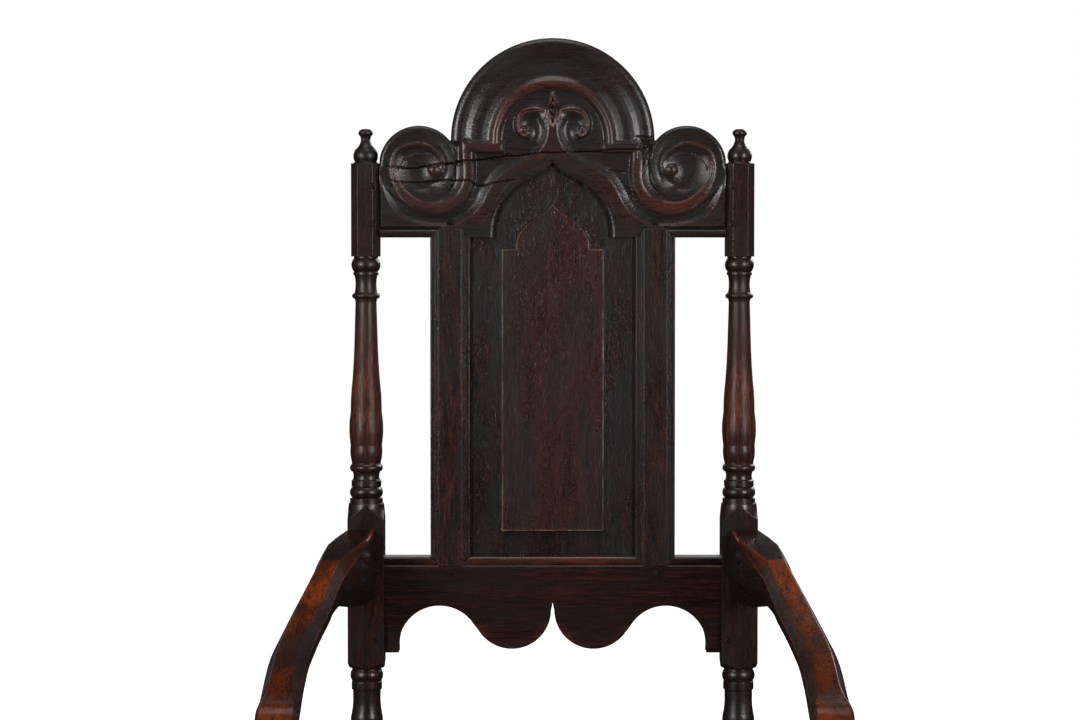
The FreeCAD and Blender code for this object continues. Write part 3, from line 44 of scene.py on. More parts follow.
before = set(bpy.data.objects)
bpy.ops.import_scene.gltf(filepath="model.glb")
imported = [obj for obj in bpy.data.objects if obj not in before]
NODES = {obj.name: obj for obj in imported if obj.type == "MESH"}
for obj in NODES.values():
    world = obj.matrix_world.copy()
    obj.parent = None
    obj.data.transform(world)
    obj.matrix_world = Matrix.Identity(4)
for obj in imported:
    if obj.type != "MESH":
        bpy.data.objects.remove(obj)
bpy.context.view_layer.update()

MM = 0.001
LEFT, RIGHT = -1, 1

# The back's frame, in millimetres: u to the right, v up from the seat, depth behind the faces.
FACE_Y = -15.0
BACK_Y = 15.0


class ChairSizes(bpy.types.PropertyGroup):
    """Sizes of the chair that the pieces share."""

    seat_height: bpy.props.FloatProperty(
        name="Seat height", description="Floor to the top of the seat",
        default=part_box("seat_board_back")[1].z, unit="LENGTH")
    post_y: bpy.props.FloatProperty(
        name="Posts' place", description="From the chair's middle back to the posts' axes",
        default=0.19305, unit="LENGTH")
    rake: bpy.props.FloatProperty(
        name="Rake", description="How far the back leans", default=math.radians(4),
        subtype="ANGLE")
    grid: bpy.props.FloatProperty(
        name="Carving grid", description="Distance between points on a carved surface",
        default=1.45 * MM, unit="LENGTH")
    edge: bpy.props.FloatProperty(
        name="Worn arris", description="Radius of an arris rounded by hands and wax",
        default=1.2 * MM, unit="LENGTH")


class OakColours(bpy.types.PropertyGroup):
    """Colours of the waxed oak, as sRGB hex values."""

    black: bpy.props.StringProperty(
        name="Patina", description="Old wax and smoke over the whole chair", default="#140f0e")
    brown: bpy.props.StringProperty(
        name="Oak", description="Red-brown oak under the patina", default="#2f1812")
    worn: bpy.props.StringProperty(
        name="Worn oak", description="Where hands have rubbed the patina off", default="#7c350f")
    # The barest arris lines: bare oak, painted pale enough to be a painted highlight too
    pale: bpy.props.StringProperty(
        name="Bare arris", description="Thin bare line on a sharp edge", default="#a08468")
    floor: bpy.props.StringProperty(
        name="Floor", description="Plain pale floor", default="#e9e9e9")


class StageSettings(bpy.types.PropertyGroup):
    """Camera and lamps."""

    camera_distance: bpy.props.FloatProperty(
        name="Camera distance", description="From the back to the camera", default=3.1,
        unit="LENGTH")
    camera_height: bpy.props.FloatProperty(
        name="Camera height", description="Camera above the floor", default=1.2, unit="LENGTH")
    view_width: bpy.props.FloatProperty(
        name="View width", description="Width of the picture at the back", default=1.242,
        unit="LENGTH")


def sizes():
    return bpy.context.scene.chair_sizes


def in_back(u, depth_y, v):
    """A place in the leaning back, in millimetres there, as a place in the room in metres."""
    own = sizes()
    cos_rake, sin_rake = math.cos(own.rake), math.sin(own.rake)
    y = own.post_y + (depth_y * cos_rake + v * sin_rake) * MM
    z = own.seat_height + (v * cos_rake - depth_y * sin_rake) * MM
    return (u * MM, y, z)


def deselect():
    if bpy.context.object and bpy.context.object.mode != "OBJECT":
        bpy.ops.object.mode_set(mode="OBJECT")
    bpy.ops.object.select_all(action="DESELECT")


def linear(hex_colour):
    """An sRGB hex value as the opaque linear colour that the shader takes."""
    channels = []
    for at in (1, 3, 5):
        value = int(hex_colour[at:at + 2], 16) / 255
        channels.append(value / 12.92 if value <= 0.04045 else ((value + 0.055) / 1.055) ** 2.4)
    return (*channels, 1.0)


def add_node(tree, kind, links=None, **settings):
    """Adds a shader node. A setting such as IN1 or INScale sets the input of that name."""
    node = tree.nodes.new(f"ShaderNode{kind}")
    for name, value in settings.items():
        if name.startswith("IN"):
            key = name[2:]
            node.inputs[int(key) if key.isdigit() else key].default_value = value
        else:
            setattr(node, name, value)
    for socket, source in (links or {}).items():
        tree.links.new(source, node.inputs[socket])
    return node


def reckon(tree, operation, a, b=0.0, **settings):
    """One operation on two values, each of them a socket or a number."""
    node = add_node(tree, "Math", operation=operation, **settings)
    for socket, value in enumerate((a, b)):
        if isinstance(value, float):
            node.inputs[socket].default_value = value
        else:
            tree.links.new(value, node.inputs[socket])
    return node.outputs[0]


def graded(tree, source, low, high, start, to):
    """A value that runs from start to to while its source runs from low to high."""
    return add_node(tree, "MapRange", {0: source}, IN1=low, IN2=high, IN3=start,
                    IN4=to).outputs[0]


# Lines of the carving, in millimetres

LINE_STEP = 1.6
ALMOST_NOTHING = 1e-9


def smooth_line(points, step=LINE_STEP):
    """A smooth line through its points, as an array of places about a step apart."""
    points = [np.array(p, float) for p in points]
    around = [2 * points[0] - points[1]] + points + [2 * points[-1] - points[-2]]
    line = []
    for a, b, c, d in zip(around, around[1:], around[2:], around[3:]):
        count = max(2, int(round(np.linalg.norm(c - b) / step)))
        for t in np.arange(count) / count:
            line.append(0.5 * (2 * b + (c - a) * t + (2 * a - 5 * b + 4 * c - d) * t ** 2
                               + (3 * b - a - 3 * c + d) * t ** 3))
    line.append(points[-1])
    return np.array(line)


def straight_line(points, step=LINE_STEP):
    """Straight runs between points, divided into steps."""
    points = [np.array(p, float) for p in points]
    line = [points[0]]
    for a, b in zip(points, points[1:]):
        count = max(1, int(round(np.linalg.norm(b - a) / step)))
        line += [a + (b - a) * (i + 1) / count for i in range(count)]
    return np.array(line)


def arc_line(centre, radius, start, end):
    """Part of a circle, from one angle to another in degrees."""
    count = max(4, int(abs(math.radians(end - start)) * radius / LINE_STEP))
    angles = np.radians(np.linspace(start, end, count + 1))
    return np.stack([centre[0] + radius * np.cos(angles), centre[1] + radius * np.sin(angles)], 1)


def offset_line(line, distance):
    """The line moved sideways; distance is a number or one for each point."""
    run = np.gradient(line, axis=0)
    run /= np.linalg.norm(run, axis=1)[:, None] + ALMOST_NOTHING
    across = np.stack([-run[:, 1], run[:, 0]], 1)
    return line + across * np.broadcast_to(distance, len(line))[:, None]


def mirror_line(line):
    return line * np.array([-1.0, 1.0])


def close_line(line):
    """The line with its first point once more at its end."""
    return np.vstack([line, line[:1]])


def whole_outline(*parts):
    """A closed outline from the parts of its right half, which starts and ends on the middle."""
    right = np.vstack(parts)
    left = mirror_line(right)[::-1]
    return np.vstack([right, left[1:-1]])


def spread_out(values, along):
    """Values at even steps along a line, as one value for each place along it."""
    return np.interp(along, np.linspace(0, 1, len(values)), values) if np.ndim(values) else values


PAIRS_AT_ONCE = 3000000


def nearest(where, line):
    """Distance of each place from a line, and how far along the line its foot is, 0 to 1."""
    a, run = line[:-1], np.diff(line, axis=0)
    squared = (run ** 2).sum(1) + 1e-12
    far, along = [], []
    for part in np.array_split(where, len(where) * len(a) // PAIRS_AT_ONCE + 1):
        offset = part[:, None] - a[None]
        t = np.clip((offset * run).sum(2) / squared, 0, 1)
        gap = ((offset - t[..., None] * run) ** 2).sum(2)
        best = gap.argmin(1)
        rows = np.arange(len(part))
        far.append(np.sqrt(gap[rows, best]))
        along.append((best + t[rows, best]) / len(a))
    return np.concatenate(far), np.concatenate(along)


def inside(where, loop):
    """Whether each place is within a closed loop."""
    result = np.zeros(len(where), bool)
    ends = np.roll(loop, -1, axis=0)
    for (ax, ay), (bx, by) in zip(loop, ends):
        if ay == by:
            continue
        crosses = (ay > where[:, 1]) != (by > where[:, 1])
        result ^= crosses & (where[:, 0] < (bx - ax) * (where[:, 1] - ay) / (by - ay) + ax)
    return result


ROW_SPACING_SHARE = 0.87
LINE_CLEARANCE_SHARE = 0.55


def carve_board(name, outline, arrises, depth_at, back_y, face_y=FACE_Y):
    """A board with a carved face: exact outline and arrises, and a fine mesh between them.

    depth_at takes places in the board and gives their depth behind the face and their wear.
    """
    grid = sizes().grid / MM * 1
    lines = [close_line(outline)] + list(arrises)
    places, edges = [], []
    for line in lines:
        first = len(places)
        places += [tuple(p) for p in line]
        edges += [(first + i, first + i + 1) for i in range(len(line) - 1)]
    low, high = outline.min(0), outline.max(0)
    rows = []
    for i, v in enumerate(np.arange(low[1], high[1], grid * ROW_SPACING_SHARE)):
        u = np.arange(low[0] + (i % 2) * grid / 2, high[0], grid)
        rows.append(np.stack([u, np.full(len(u), v)], 1))
    spread = np.vstack(rows)
    spread = spread[inside(spread, outline)]
    for line in lines:
        near, _ = nearest(spread, np.asarray(line))
        spread = spread[near > grid * LINE_CLEARANCE_SHARE]
    places += [tuple(p) for p in spread]
    verts, _, faces, _, _, _ = delaunay_2d_cdt([Vector(p) for p in places], edges, [], 0, 1e-4)
    flat = np.array([tuple(v) for v in verts])
    triangles = np.array(faces)
    triangles = triangles[inside(flat[triangles].mean(1), outline)]
    depth, wear = depth_at(flat)
    mesh = bmesh.new()
    worn = mesh.verts.layers.float.new("worn")
    front, rear = {}, {}
    for i in np.unique(triangles):
        front[i] = mesh.verts.new(in_back(flat[i][0], face_y + depth[i], flat[i][1]))
        front[i][worn] = wear[i]
    for a, b, c in triangles:
        ab, ac = flat[b] - flat[a], flat[c] - flat[a]
        if ab[0] * ac[1] - ab[1] * ac[0] < 0:
            b, c = c, b
        mesh.faces.new((front[a], front[b], front[c]))
    rim = [e for e in mesh.edges if len(e.link_faces) == 1]
    place_of = {vert: i for i, vert in front.items()}
    for edge in rim:
        loop = edge.link_loops[0]
        a, b = loop.vert, loop.link_loop_next.vert
        for vert in (a, b):
            if vert not in rear:
                at = flat[place_of[vert]]
                rear[vert] = mesh.verts.new(in_back(at[0], back_y, at[1]))
        mesh.faces.new((b, a, rear[a], rear[b]))
    rear_rim = [e for e in mesh.edges if len(e.link_faces) == 1]
    bmesh.ops.triangle_fill(mesh, edges=rear_rim, use_beauty=True)
    bmesh.ops.recalc_face_normals(mesh, faces=mesh.faces)
    data = bpy.data.meshes.new(name)
    mesh.to_mesh(data)
    mesh.free()
    piece = bpy.data.objects.new(name, data)
    bpy.context.scene.collection.objects.link(piece)
    return piece


def finish_piece(piece, material, smooth, replaces, facets=False):
    """Shading, material and body of a finished piece. facets keeps flat faces looking flat."""
    deselect()
    piece.select_set(True)
    bpy.context.view_layer.objects.active = piece
    bpy.ops.object.shade_smooth_by_angle(angle=math.radians(smooth))
    if facets:
        piece.modifiers.new("flats", "WEIGHTED_NORMAL").keep_sharp = True
        bpy.ops.object.modifier_apply(modifier="flats")
    piece.data.materials.clear()
    piece.data.materials.append(material)
    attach(piece, "root")
    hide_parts(*replaces)
    return piece


RUBBED_FLANK = 1.2


def lay_band(depth, wear, far, along, half, top, flank, power, crown, rub):
    """Raises a band with rounded top and hollow flanks, from each place's distance to its line.

    half is half its width, crown how much deeper than its top its edges lie, flank how far its
    sides run out, power how hollow they are, and rub how worn it is.
    """
    half = np.maximum(spread_out(half, along), 1e-3)
    top = spread_out(top, along)
    edge = top + crown
    rounded = top + crown * np.clip(far / half, 0, 1) ** 2
    beyond = np.clip((far - half) / flank, 0, 1)
    sloping = edge + (depth - edge) * (1 - (1 - beyond) ** power)
    level = np.where(far < half, rounded, sloping)
    raised = level < depth
    rubbed = np.where(far < half, 1.0, np.clip(1 - (far - half) / RUBBED_FLANK, 0, 1)) * rub
    return np.where(raised, level, depth), np.where(raised, np.maximum(wear, rubbed), wear)


def lay_boss(depth, wear, far, radius, top, fall, power, rub):
    """Raises a dome, from each place's distance to its middle."""
    dome = top + fall * np.clip(far / radius, 0, 1) ** power
    return (np.where(far < radius, np.minimum(depth, dome), depth),
            np.where(far < radius, np.maximum(wear, rub), wear))


def cut_line(depth, where, line, wide, deep):
    """A narrow groove or crack along a line, tapering to both of its ends."""
    far, along = nearest(where, line)
    taper = np.clip(np.minimum(along, 1 - along) * 12, 0.15, 1)
    return depth + deep * taper * np.clip(1 - far / wide, 0, 1)


# Outlines of the back, in millimetres from the middle and from the seat

CREST_LOW = 587.0
CREST_HALF = 199.0
ARCH_MIDDLE = (0.0, 698.5)
ARCH_RADIUS = 117.0
ARCH_FOOT = 692.0
LOBE_MIDDLE = (153.9, 669.4)
LOBE_RADIUS = 45.7
DISH_MIDDLE, DISH_RADIUS = (152.0, 657.0), 30.0
BEAD_RADIUS, BEAD_HALF = 66.2, 5.0
LEDGE_MIDDLE, LEDGE_IN, LEDGE_OUT, LEDGE_HALF = 690.5, 62.8, 98.2, 5.2
MOULDING_HEIGHT, MOULDING_STARTS = 10.4, 128.0
GROUND_DEPTH = 6.2
SWEEP_DEPTH = 1.7
CUT_HALF = 68.4
CUT_SPRING = 590.0
CUT_APEX = 673.0
STILE_IN, STILE_OUT = 95.5, 141.0
MITRE = 10.0
RAIL_HIGH, RAIL_LOW = 218.5, 108.0
RAIL_HALF = 194.75


def cut_out_line():
    """Right half of the crest's cut-out, from the jamb's foot to its point."""
    return np.vstack([
        [(CUT_HALF, CREST_LOW)],
        arc_line((0, CUT_SPRING), CUT_HALF, 0, 65),
        smooth_line([(28.9, 652.0), (21.0, 656.6), (10.5, 662.6), (3.6, 668.6),
                     (0.0, CUT_APEX)])[1:],
    ])


def crest_outline():
    return whole_outline(
        cut_out_line()[::-1],
        straight_line([(CUT_HALF, CREST_LOW), (STILE_IN, CREST_LOW),
                       (STILE_IN + MITRE, CREST_LOW + MITRE),
                       (STILE_OUT - MITRE, CREST_LOW + MITRE), (STILE_OUT, CREST_LOW),
                       (CREST_HALF, CREST_LOW), (CREST_HALF, 677.0)])[1:],
        arc_line(LOBE_MIDDLE, LOBE_RADIUS, 9.6, 140.5)[1:],
        arc_line(ARCH_MIDDLE, ARCH_RADIUS, 0, 90))


# The scroll band, as the right side shows it: from the ledge down and round to the boss
SCROLL = [(98.0, 691.0), (97.6, 678.0), (96.6, 664.0), (97.6, 650.5), (102.0, 638.5),
          (111.0, 629.0), (124.5, 622.5), (140.0, 621.0), (156.0, 625.0), (169.0, 634.5),
          (178.5, 647.5), (183.0, 661.5), (182.6, 676.0), (176.5, 687.0), (165.5, 693.0),
          (152.5, 694.5), (140.5, 690.5), (131.0, 682.5), (126.5, 673.0), (128.0, 664.5),
          (134.0, 661.0)]
SCROLL_HALF = [5.4, 5.4, 5.2, 5.2, 5.6, 6.0, 6.2, 6.2, 5.8, 5.2, 4.6, 3.8, 3.0, 2.2, 1.4, 0.9, 0.7,
               0.6, 0.6, 0.6, 0.6]
BOSS = (136.5, 664.5)
BOSS_RADIUS = 7.0
# One arris from the lobe's rim under the scroll, over the cut-out and up to the small scroll
SWEEP = [(198.6, 662.0), (196.5, 647.0), (191.0, 631.0), (182.0, 616.5), (168.0, 606.0),
         (150.0, 600.2), (133.5, 598.1), (117.2, 599.2), (104.9, 604.2), (90.5, 613.4),
         (80.3, 625.7), (74.2, 638.0), (63.9, 653.4), (50.6, 664.7), (35.3, 672.4), (20.9, 679.5),
         (12.0, 688.0), (7.2, 698.0), (5.0, 708.0), (5.4, 717.0), (8.6, 726.0)]
C_SCROLL = [(3.2, 716.5), (8.0, 725.5), (10.5, 731.5), (15.5, 733.9), (21.0, 734.3), (30.2, 732.8),
            (37.4, 727.1), (40.8, 719.0), (40.3, 711.5), (37.0, 706.0), (32.0, 704.0),
            (29.0, 707.0)]
C_SCROLL_HALF = [0.5, 1.0, 1.5, 1.9, 2.2, 2.2, 2.1, 1.9, 1.6, 1.2, 0.8, 0.6]
C_DISH, C_DISH_RADIUS = (22.0, 715.0), 24.0
C_BOSS, C_BOSS_RADIUS = (33.8, 710.5), 4.4
SPEAR_HEART = [(0.0, 742.0), (2.2, 737.5), (4.8, 733.8), (3.4, 729.0), (0.0, 724.0)]
SPEAR = [(0.0, 754.5), (3.0, 742.0), (8.2, 733.5), (3.4, 725.0), (0.0, 712.5)]


def arch_profile(where):
    """Depth of the big arch's face against the distance from its middle."""
    radius = np.hypot(where[:, 0] - ARCH_MIDDLE[0], np.maximum(where[:, 1] - ARCH_MIDDLE[1], 0))
    radii = [0, 30, 52, 61.5, 71, 73, 76, 82, 88, 94, 100, 106, 110, 113.5, 116, 117]
    depths = [6.6, 6.8, 6.4, 5.4, 3.6, 4.2, 5.0, 6.2, 6.4, 5.2, 2.6, 1.3, 1.5, 2.6, 4.6, 6.0]
    return np.interp(radius, radii, depths)


def crest_depth(where):
    """The carving: hollows first, then the raised bands, ridges and bosses, then the cracks."""
    u, v = np.abs(where[:, 0]), where[:, 1]
    wear = np.zeros(len(where))
    mirrored = np.stack([u, v], 1)

    def away(point):
        return np.hypot(u - point[0], v - point[1])

    def band(line, *how):
        return lay_band(depth, wear, *nearest(mirrored, line), *how)

    arch = arch_profile(where)
    above = np.clip((v - ARCH_FOOT) / 6.0, 0, 1)
    within = (away(ARCH_MIDDLE) < ARCH_RADIUS + 0.5) | (u < 61)
    dish = away(DISH_MIDDLE)
    bowl = np.clip(1 - dish / DISH_RADIUS, 0, 1)
    depth = np.where(within, GROUND_DEPTH + (arch - GROUND_DEPTH) * above,
                     GROUND_DEPTH + 1.2 * bowl)
    # The lobe's rim rolls over to its edge
    lobe = away(LOBE_MIDDLE)
    rim = np.interp(lobe, [0, 27, 31, 36, 41.5, 44.2, LOBE_RADIUS],
                    [7.4, 6.8, 4.9, 3.0, 2.2, 3.4, 5.6])
    on_lobe = (u > ARCH_RADIUS) & (v > 676) | (lobe < LOBE_RADIUS) & (u > 112)
    depth = np.where(on_lobe & ~(within & (u < 112)), rim, depth)
    # The flat ground under the sweep, and the broad band over the cut-out
    sweep = smooth_line(SWEEP)
    corners = np.array([(0.0, 713.0), (0.0, CREST_LOW), (CREST_HALF, CREST_LOW)])
    ground = inside(mirrored, np.vstack([sweep, corners]))
    depth, wear = band(sweep, 0.4, SWEEP_DEPTH, 10.0, 1.25, 0, 0.3)
    gap, _ = nearest(mirrored, sweep)
    jamb, _ = nearest(mirrored, cut_out_line())
    flat = SWEEP_DEPTH + 0.5 * np.clip(1 - np.abs(gap - 11) / 3, 0, 1) * (u < 84)
    flat = flat + 1.8 * np.clip(1 - jamb / 3.2, 0, 1) ** 1.5
    depth = np.where(ground, flat, depth)
    wear = np.where(ground, np.where(u < 96, 0.24, 0.04) * np.clip(1.3 - gap / 16, 0.3, 1), wear)
    wear = np.maximum(wear, np.clip(1 - gap / 0.9, 0, 1) * 0.45)
    # The scroll: a rubbed band that narrows to a ridge, with its steepest flank on the trunk's side
    far, along = nearest(mirrored, smooth_line(SCROLL))
    trunk_side = (u < 97) & (v > 632)
    inner = np.where((v > 670) & (u < 112), 6.0, 10.5)
    flank = np.where(dish < 27, 17.0, np.where(trunk_side, 3.6, inner))
    rub = np.interp(along, np.arange(11) / 10,
                    [0.45, 0.3, 0.3, 0.5, 0.55, 0.3, 0.12, 0.25, 0.6, 0.5, 0.5])
    depth, wear = lay_band(depth, wear, far, along, SCROLL_HALF, [0.8, 0.4, 0.3, 0.5, 0.8],
                           flank, np.where(trunk_side, 1.05, 1.45),
                           np.interp(along, [0, 0.2, 0.3, 1], [0.7, 0.7, 1.7, 1.7]), rub)
    # Its inner arris is rubbed bare, and its pale colour is a painted highlight as well
    half = spread_out(SCROLL_HALF, along)
    bare_and_highlit = (np.abs(far - half) < 0.5) & (along < 0.66) & (u > 97) & ((dish < 38) | (v > 640))
    wear = np.where(bare_and_highlit, 1.0, wear)
    # Ledge and bead, with square mitred ends
    ledge = np.maximum(np.abs(v - LEDGE_MIDDLE), np.maximum(u - LEDGE_OUT, LEDGE_IN - u))
    depth, wear = lay_band(depth, wear, ledge, ledge, LEDGE_HALF, 0.4, 2.2, 1.5, 1.0, 0.3)
    bead = np.vstack([arc_line(ARCH_MIDDLE, BEAD_RADIUS, 0, 90)[::-1], [(BEAD_RADIUS, 694.0)]])
    depth, wear = band(bead, BEAD_HALF, 0.2, 2.4, 1.6, 2.6, 0.62)
    depth, wear = lay_boss(depth, wear, away(BOSS), BOSS_RADIUS, 0.5, 3.4, 2.5, 0.35)
    # The small scrolls and the spear under the arch, each scroll round its own little dish
    small = away(C_DISH)
    depth = np.where((small < C_DISH_RADIUS) & (v > 690) & ~ground,
                     depth + 1.4 * np.clip(1 - small / C_DISH_RADIUS, 0, 1), depth)
    far, along = nearest(mirrored, smooth_line(C_SCROLL, 1.0))
    rub = np.interp(along, [0, 0.15, 0.3, 0.5, 0.7, 1], [0.1, 0.5, 0.75, 0.3, 0.2, 0.5])
    depth, wear = lay_band(depth, wear, far, along, C_SCROLL_HALF, 2.0,
                           np.where(small < 17, 9.0, 3.0), 1.4, 0.9, rub)
    # The small scroll's arris is rubbed bare; its pale colour is a painted highlight as well
    half = spread_out(C_SCROLL_HALF, along)
    wear = np.where(np.abs(far - half) < 0.35, 1.0, wear)
    depth, wear = lay_boss(depth, wear, away(C_BOSS), C_BOSS_RADIUS, 1.8, 2.6, 2, 0.6)
    depth, wear = band(smooth_line(SPEAR, 0.8), 0.4, 2.2, 1.4, 1.2, 0.2, 1.0)
    depth, wear = band(smooth_line(SPEAR_HEART, 0.8), 0.4, 2.6, 1.4, 1.2, 0.2, 0.8)
    # The moulding along the lower edge, outside the stiles
    low = v - CREST_LOW
    moulding = np.interp(low, [0, 1.2, 2.4, 5.5, 8.0, 9.4, MOULDING_HEIGHT, 12.0],
                         [5.6, 3.4, 2.8, 1.8, 2.6, 4.4, 5.0, 1.8])
    depth = np.where((u > MOULDING_STARTS) & (low < 12), moulding, depth)
    wear = np.where((u > MOULDING_STARTS) & (low < 8), 0.12, wear)
    # The right end of the ledge is broken off and rough
    u, v = where[:, 0], where[:, 1]
    broken = np.clip(1 - np.maximum(np.abs(u - 106) / 9, np.abs(v - 688) / 12), 0, 1)
    broken = np.clip(broken * 4, 0, 1)
    rough = 1.6 + 0.9 * np.sin(u * 1.7 + np.sin(v * 1.1) * 2) * np.sin(v * 1.3 + u * 0.4)
    depth = depth + rough * broken
    wear = wear * (1 - broken)
    for crack, wide, deep in CRACKS:
        depth = cut_line(depth, where, smooth_line(crack), wide, deep)
    return depth, wear


# The cracks: each one's line, its width to either side and its depth
CRACKS = [
    ([(-196.0, 667.0), (-178.0, 667.6), (-160.0, 666.2), (-138.0, 670.4), (-120.0, 671.2),
      (-101.0, 675.0), (-82.0, 676.2), (-60.0, 679.6), (-40.0, 680.6), (-18.0, 683.6),
      (0.0, 683.9), (26.0, 685.4), (50.0, 685.6), (74.0, 688.0), (102.0, 688.2),
      (117.0, 694.0)], 0.9, 3.2),
    ([(-194.0, 653.5), (-172.0, 650.4), (-150.0, 650.2), (-124.0, 652.6), (-99.0, 652.6),
      (-90.0, 648.0), (-82.0, 646.4), (-58.0, 651.2), (-36.0, 653.5)], 0.7, 2.4),
    ([(95.0, 703.0), (117.0, 701.5)], 0.8, 2.0),
    ([(60.0, 664.0), (88.0, 661.5)], 0.6, 1.2),
]


def crest_arrises():
    """The sharp lines of the carving, less the parts of them that fall outside its outline."""
    lines = []
    scroll = smooth_line(SCROLL)
    half = spread_out(SCROLL_HALF, np.linspace(0, 1, len(scroll)))
    small = smooth_line(C_SCROLL, 1.0)
    small_half = spread_out(C_SCROLL_HALF, np.linspace(0, 1, len(small)))
    ledge_low, ledge_high = LEDGE_MIDDLE - LEDGE_HALF, LEDGE_MIDDLE + LEDGE_HALF
    ledge_end = LEDGE_OUT + LEDGE_HALF
    singles = [offset_line(scroll, half)[10:], offset_line(scroll, -half)[10:],
               smooth_line(SWEEP), offset_line(small, small_half),
               offset_line(small, -small_half), smooth_line(SPEAR_HEART, 1.0),
               straight_line([(58.0, ledge_low), (ledge_end, ledge_low), (ledge_end, ledge_high),
                              (BEAD_RADIUS + BEAD_HALF, ledge_high)]),
               arc_line(ARCH_MIDDLE, BEAD_RADIUS + BEAD_HALF, 0, 90),
               arc_line(ARCH_MIDDLE, BEAD_RADIUS - BEAD_HALF, 0, 90), smooth_line(SPEAR, 1.0),
               straight_line([(MOULDING_STARTS + 1.0, CREST_LOW + MOULDING_HEIGHT),
                              (CREST_HALF - 0.3, CREST_LOW + MOULDING_HEIGHT)])]
    for line in singles:
        lines += [line, mirror_line(line)]
    lines += [smooth_line(crack) for crack, _, _ in CRACKS]
    outline = crest_outline()
    kept = []
    for line in lines:
        ok = inside(line, outline)
        far, _ = nearest(line, close_line(outline))
        ok &= far > 0.5
        for run in np.split(np.arange(len(line)), np.flatnonzero(np.diff(ok)) + 1):
            if ok[run[0]] and len(run) > 1:
                kept.append(line[run])
    return kept


PANEL_FACE, PANEL_BACK = -10.8, 2.0
PANEL_IN_GROOVE = 7.0
# Lines along the shoulder round the field, as distances out from the field's outline
SHOULDER_LINES = (-0.7, 0.0, 1.8)
FIELD_HALF, FIELD_LOW, FIELD_SHOULDER = 58.5, 248.5, 573.0
FIELD_NECK = 42.0
FIELD_TOP = [(42.0, 573.0), (41.0, 583.0), (36.5, 592.5), (28.5, 602.0), (18.5, 609.5),
             (9.0, 615.5), (3.0, 622.0), (0.0, 626.5)]


def field_outline(grow=0.0):
    """The raised field: square below, with a pointed ogee above its shoulders."""
    return whole_outline(
        straight_line([(0, FIELD_LOW - grow), (FIELD_HALF + grow, FIELD_LOW - grow),
                       (FIELD_HALF + grow, FIELD_SHOULDER + grow),
                       (FIELD_NECK + grow, FIELD_SHOULDER + grow)], 3.0),
        smooth_line([(u + (grow if u else 0), v + grow) for u, v in FIELD_TOP], 1.5)[1:])


def panel_outline():
    """The whole panel, with the edges that stand in the grooves."""
    grow = PANEL_IN_GROOVE
    half, neck = STILE_IN + grow, CUT_HALF + grow
    return whole_outline(
        straight_line([(0, RAIL_HIGH - grow), (half, RAIL_HIGH - grow),
                       (half, CREST_LOW + grow), (neck, CREST_LOW + grow)], 3.0),
        arc_line((0, CUT_SPRING + grow), neck, 0, 65)[1:],
        smooth_line([(31.9, 665.3), (20.0, 671.5), (8.0, 677.5), (0.0, 682.0)])[1:])


def panel_depth(where):
    """The panel's face against its margin: a raised field with a steep little shoulder."""
    outline = field_outline()
    far, _ = nearest(where, close_line(outline))
    signed = np.where(inside(where, outline), -far, far)
    depth = np.interp(signed, [-3.0, 0.0, 1.1, 1.8, 9.0], [0.3, 0.0, 3.8, 4.6, 4.9])
    # A bare line along the field's arris, which turns pale as a painted highlight too
    wear = np.clip(2 - np.abs(signed + 0.35) / 0.4, 0, 1)
    field = np.clip(0.5 - signed / 2, 0, 1)
    return depth, np.maximum(wear, field * 0.42)


RAIL_LOBE, RAIL_LOBE_RADIUS = (47.1, 157.6), 45.3
RAIL_ARCH, RAIL_ARCH_RADIUS = (130.6, 115.0), 47.2
RAIL_FOOT = 177.6
RAIL_BACK = 13.0
BEAD_DOWN, QUIRK_DOWN = 9.4, 12.5


def lower_rail_outline():
    return whole_outline(
        [(0.0, 166.0), (0.9, 161.0)],
        arc_line(RAIL_LOBE, RAIL_LOBE_RADIUS, 180, 323.6),
        arc_line(RAIL_ARCH, RAIL_ARCH_RADIUS, 143.6, 0),
        straight_line([(RAIL_FOOT, 113.0), (RAIL_FOOT, RAIL_LOW), (RAIL_HALF, RAIL_LOW),
                       (RAIL_HALF, RAIL_HIGH), (STILE_OUT, RAIL_HIGH),
                       (STILE_OUT - MITRE, RAIL_HIGH - MITRE),
                       (STILE_IN + MITRE, RAIL_HIGH - MITRE), (STILE_IN, RAIL_HIGH),
                       (0, RAIL_HIGH)]))


def lower_rail_depth(where):
    """A rounded bead along the top edge with a quirk under it, and lobes rubbed at their rims."""
    down = RAIL_HIGH - where[:, 1]
    depth = np.interp(down, [0, 0.8, 3.0, 6.0, 8.4, BEAD_DOWN, 10.4, QUIRK_DOWN],
                      [2.6, 1.2, 0.4, 0.5, 1.4, 2.2, 1.0, 0.3])
    wear = np.interp(down, [0, 1, 4, 8, 9, 12], [0.8, 0.7, 0.6, 0.5, 0, 0])
    wear *= np.interp(where[:, 0], [-150, -90, 50, 110], [0.05, 0.8, 1.0, 0.05])
    lobe = np.hypot(np.abs(where[:, 0]) - RAIL_LOBE[0], where[:, 1] - RAIL_LOBE[1])
    lobes = np.clip(1 - np.abs(lobe - 43) / 9, 0, 1) * (where[:, 1] < 140)
    return depth, np.maximum(wear, lobes * 0.55)


# Finishes


